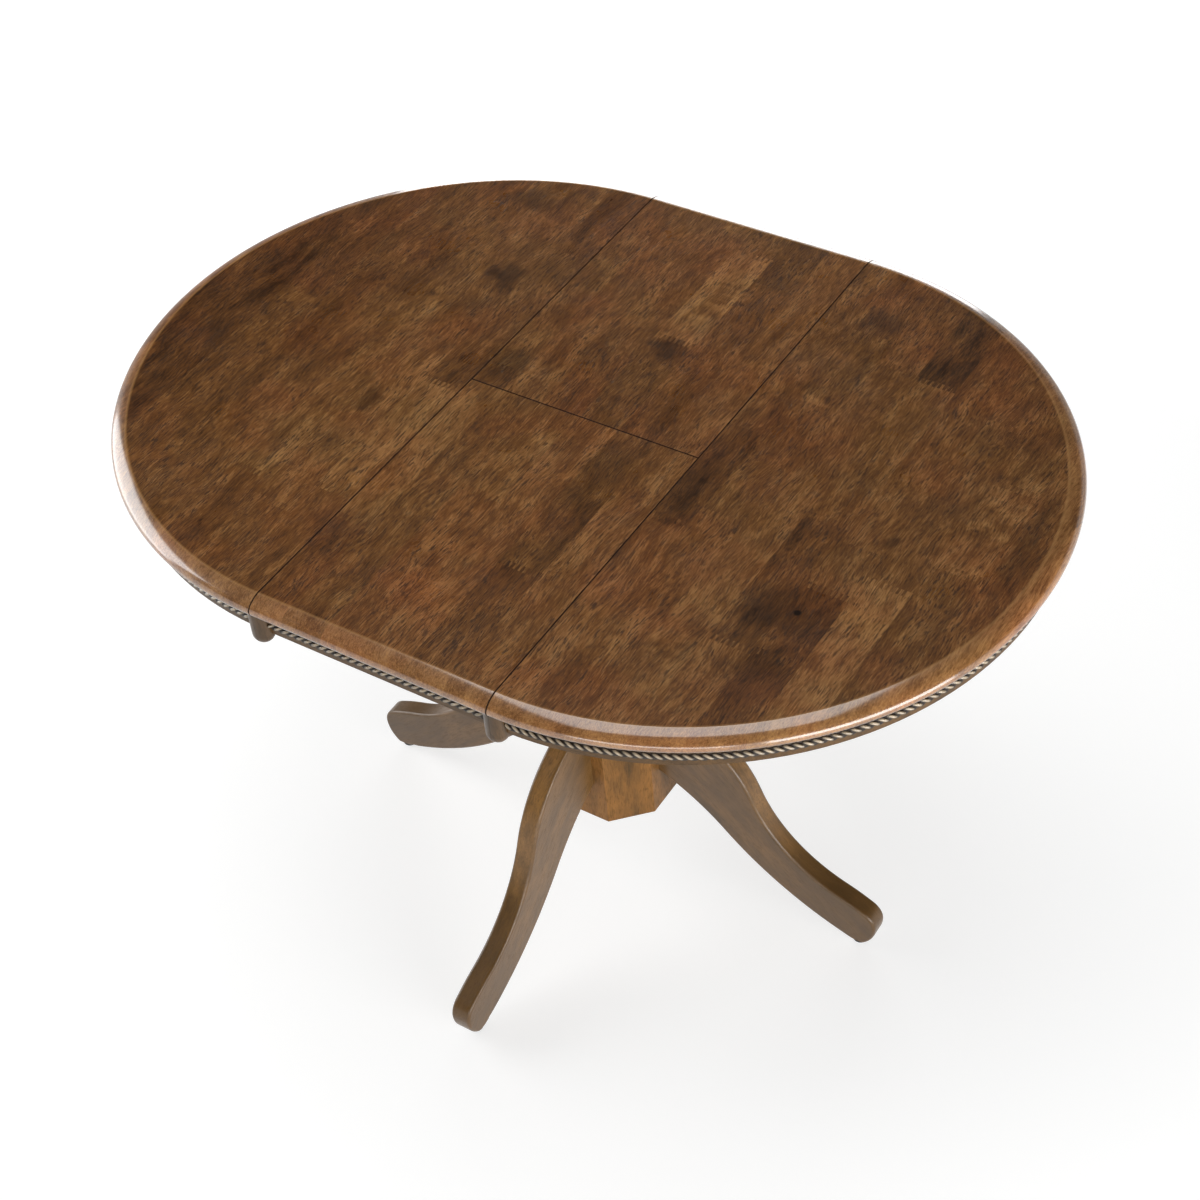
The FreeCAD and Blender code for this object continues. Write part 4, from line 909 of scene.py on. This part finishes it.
class OBJECT_OT_table_hardware(TableOperator, bpy.types.Operator):
    """Finish the steel, the brass and the plastic"""
    bl_idname = "object.table_hardware"
    bl_label = "Hardware"

    def make(self, sizes, colours):
        steel = make_metal_finish("Plated steel", colours.steel, 0.34)
        brass = make_metal_finish("Hinge brass", colours.brass, 0.30)
        plastic = make_metal_finish("Glide plastic", colours.glide, 0.5, 0.0)
        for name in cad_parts:
            if name.startswith("hinge_barrels"):
                dress(brass, name)
            elif name.startswith("glide"):
                dress(plastic, name)
            elif name.startswith(("plate_screws", "coach_screws", "leg_bolts", "leg_nuts", "latch_",
                                  "frame_screws", "runner_screws", "pinion", "racks", "leaf_plates")):
                dress(steel, name)


def towards_back(tree, vector):
    """How far a place or direction lies to the back left, behind the table."""
    made = add(tree, "VectorMath", {0: vector, 1: (-0.6, 0.8, 0.0)}, operation="DOT_PRODUCT")
    return made.outputs["Value"]


class OBJECT_OT_table_studio(TableOperator, bpy.types.Operator):
    """Make the floor, the lights, the world and the camera"""
    bl_idname = "object.table_studio"
    bl_label = "Studio"

    def make(self, sizes, colours):
        bm = bmesh.new()
        bmesh.ops.create_grid(bm, x_segments=1, y_segments=1, size=30.0)
        floor = finish_piece(bm, "studio_floor", math.radians(30))
        made, tree, shader = material("Studio floor")
        path = add(tree, "LightPath").outputs
        seen = math_node(tree, "ADD", path["Is Camera Ray"], path["Is Glossy Ray"])
        seen = math_node(tree, "ADD", seen, path["Is Transmission Ray"], clamp=True)
        place = object_vector(tree)
        cloud = noise(tree, place, 3.0)
        far = add(tree, "VectorMath", {0: place}, operation="LENGTH").outputs["Value"]
        # Painted shade: the floor's glow is weakest close to the table and rises outwards, a painted
        # grey pool round the base on top of its real shadow; further off it rises to an even white
        # where the lamps don't reach.
        glow = spread(tree, far, 0.9, 1.8, colours.floor_glow, colours.floor_glow + 0.33)
        glow = math_node(tree, "MAXIMUM", glow, spread(tree, far, 1.8, 3.6, 0.7, 1.0))
        behind = spread(tree, towards_back(tree, place), 1.2, 2.8, 0.0, 0.6)
        behind = times(tree, path["Is Glossy Ray"], behind)
        glow = times(tree, glow, math_node(tree, "SUBTRACT", 1.0, behind))
        base = tint(tree, cloud, colours.floor, darker(colours.floor, 0.995))
        shade = darker(colours.floor, colours.floor_shade / colours.floor[1])
        base = tint(tree, seen, base, shade)
        under = add(tree, "NewGeometry").outputs["Backfacing"]
        feed(tree, shader, {"Base Color": base, "Roughness": 0.9, "Specular IOR Level": 0.1,
                            "Emission Color": (1.0, 1.0, 1.0),
                            "Emission Strength": times(tree, seen, glow),
                            "Alpha": math_node(tree, "SUBTRACT", 1.0, under)})
        floor.data.materials.append(made)

        world = bpy.data.worlds.new("Studio")
        world.use_nodes = True
        tree = world.node_tree
        path = add(tree, "LightPath").outputs
        mirrored = math_node(tree, "ADD", path["Is Glossy Ray"], path["Is Transmission Ray"],
                             clamp=True)
        direction = add(tree, "TexCoord").outputs["Generated"]
        up = add(tree, "SeparateXYZ", {0: direction}).outputs["Z"]
        backdrop = times(tree, mirrored, spread(tree, up, 0.12, 0.30, 1.0, 0.05))
        behind = spread(tree, towards_back(tree, direction), 0.3, 0.9, 1.0, 0.3)
        backdrop = times(tree, backdrop, behind)
        light = spread(tree, up, 0.10, 0.50, 0.05, 0.015)
        white = math_node(tree, "MAXIMUM", path["Is Camera Ray"], backdrop)
        feed(tree, tree.nodes["Background"], {"Color": (1.0, 1.0, 1.0),
                                              "Strength": math_node(tree, "MAXIMUM", light, white)})
        bpy.context.scene.world = world

        for name, place, aim, wide, high, power in LAMPS:
            light = bpy.data.lights.new(name, "AREA")
            light.shape = "RECTANGLE"
            light.size = wide
            light.size_y = high
            light.energy = power
            holder = bpy.data.objects.new(name, light)
            bpy.context.scene.collection.objects.link(holder)
            holder.location = place
            holder.rotation_euler = (Vector(aim) - Vector(place)).to_track_quat("-Z", "Y").to_euler()

        data = bpy.data.cameras.new("Camera")
        camera = bpy.data.objects.new("Camera", data)
        bpy.context.scene.collection.objects.link(camera)
        data.sensor_width = CAMERA_SENSOR
        data.lens = CAMERA_LENS
        yaw, pitch, roll = (math.radians(angle) for angle in CAMERA_TURNS)
        level = math.cos(pitch)
        ahead = Vector((level * math.sin(yaw), level * math.cos(yaw), math.sin(pitch)))
        across = ahead.cross(Vector((0, 0, 1))).normalized()
        over = across.cross(ahead)
        right = math.cos(roll) * across + math.sin(roll) * over
        upward = -math.sin(roll) * across + math.cos(roll) * over
        camera.matrix_world = (Matrix.Translation(CAMERA_PLACE)
                               @ Matrix((right, upward, -ahead)).transposed().to_4x4())
        bpy.context.scene.camera = camera
        bpy.context.scene.view_settings.view_transform = "Standard"


OPERATORS = (OBJECT_OT_table_groups, OBJECT_OT_table_top, OBJECT_OT_table_leaf, OBJECT_OT_table_rope,
             OBJECT_OT_table_aprons, OBJECT_OT_table_pedestal, OBJECT_OT_table_slides,
             OBJECT_OT_table_hardware, OBJECT_OT_table_studio)


class VIEW3D_PT_table(bpy.types.Panel):
    """The table's operators, sizes and colours"""
    bl_idname = "VIEW3D_PT_table"
    bl_label = "Extending Table"
    bl_space_type = "VIEW_3D"
    bl_region_type = "UI"
    bl_category = "Table"

    def draw(self, context):
        for operator in OPERATORS:
            self.layout.operator(operator.bl_idname)
        for settings in (context.scene.table_sizes, context.scene.table_colours):
            column = self.layout.column()
            for name in settings.__annotations__:
                column.prop(settings, name)


CLASSES = (TableSizes, TableColours, *OPERATORS, VIEW3D_PT_table)


def register():
    for item in CLASSES:
        bpy.utils.register_class(item)
    bpy.types.Scene.table_sizes = PointerProperty(type=TableSizes)
    bpy.types.Scene.table_colours = PointerProperty(type=TableColours)


def unregister():
    del bpy.types.Scene.table_colours
    del bpy.types.Scene.table_sizes
    for item in reversed(CLASSES):
        bpy.utils.unregister_class(item)


def main():
    register()
    for operator in OPERATORS:
        area, name = operator.bl_idname.split(".")
        getattr(getattr(bpy.ops, area), name)()
    bpy.context.view_layer.update()


if __name__ == "__main__":
    main()
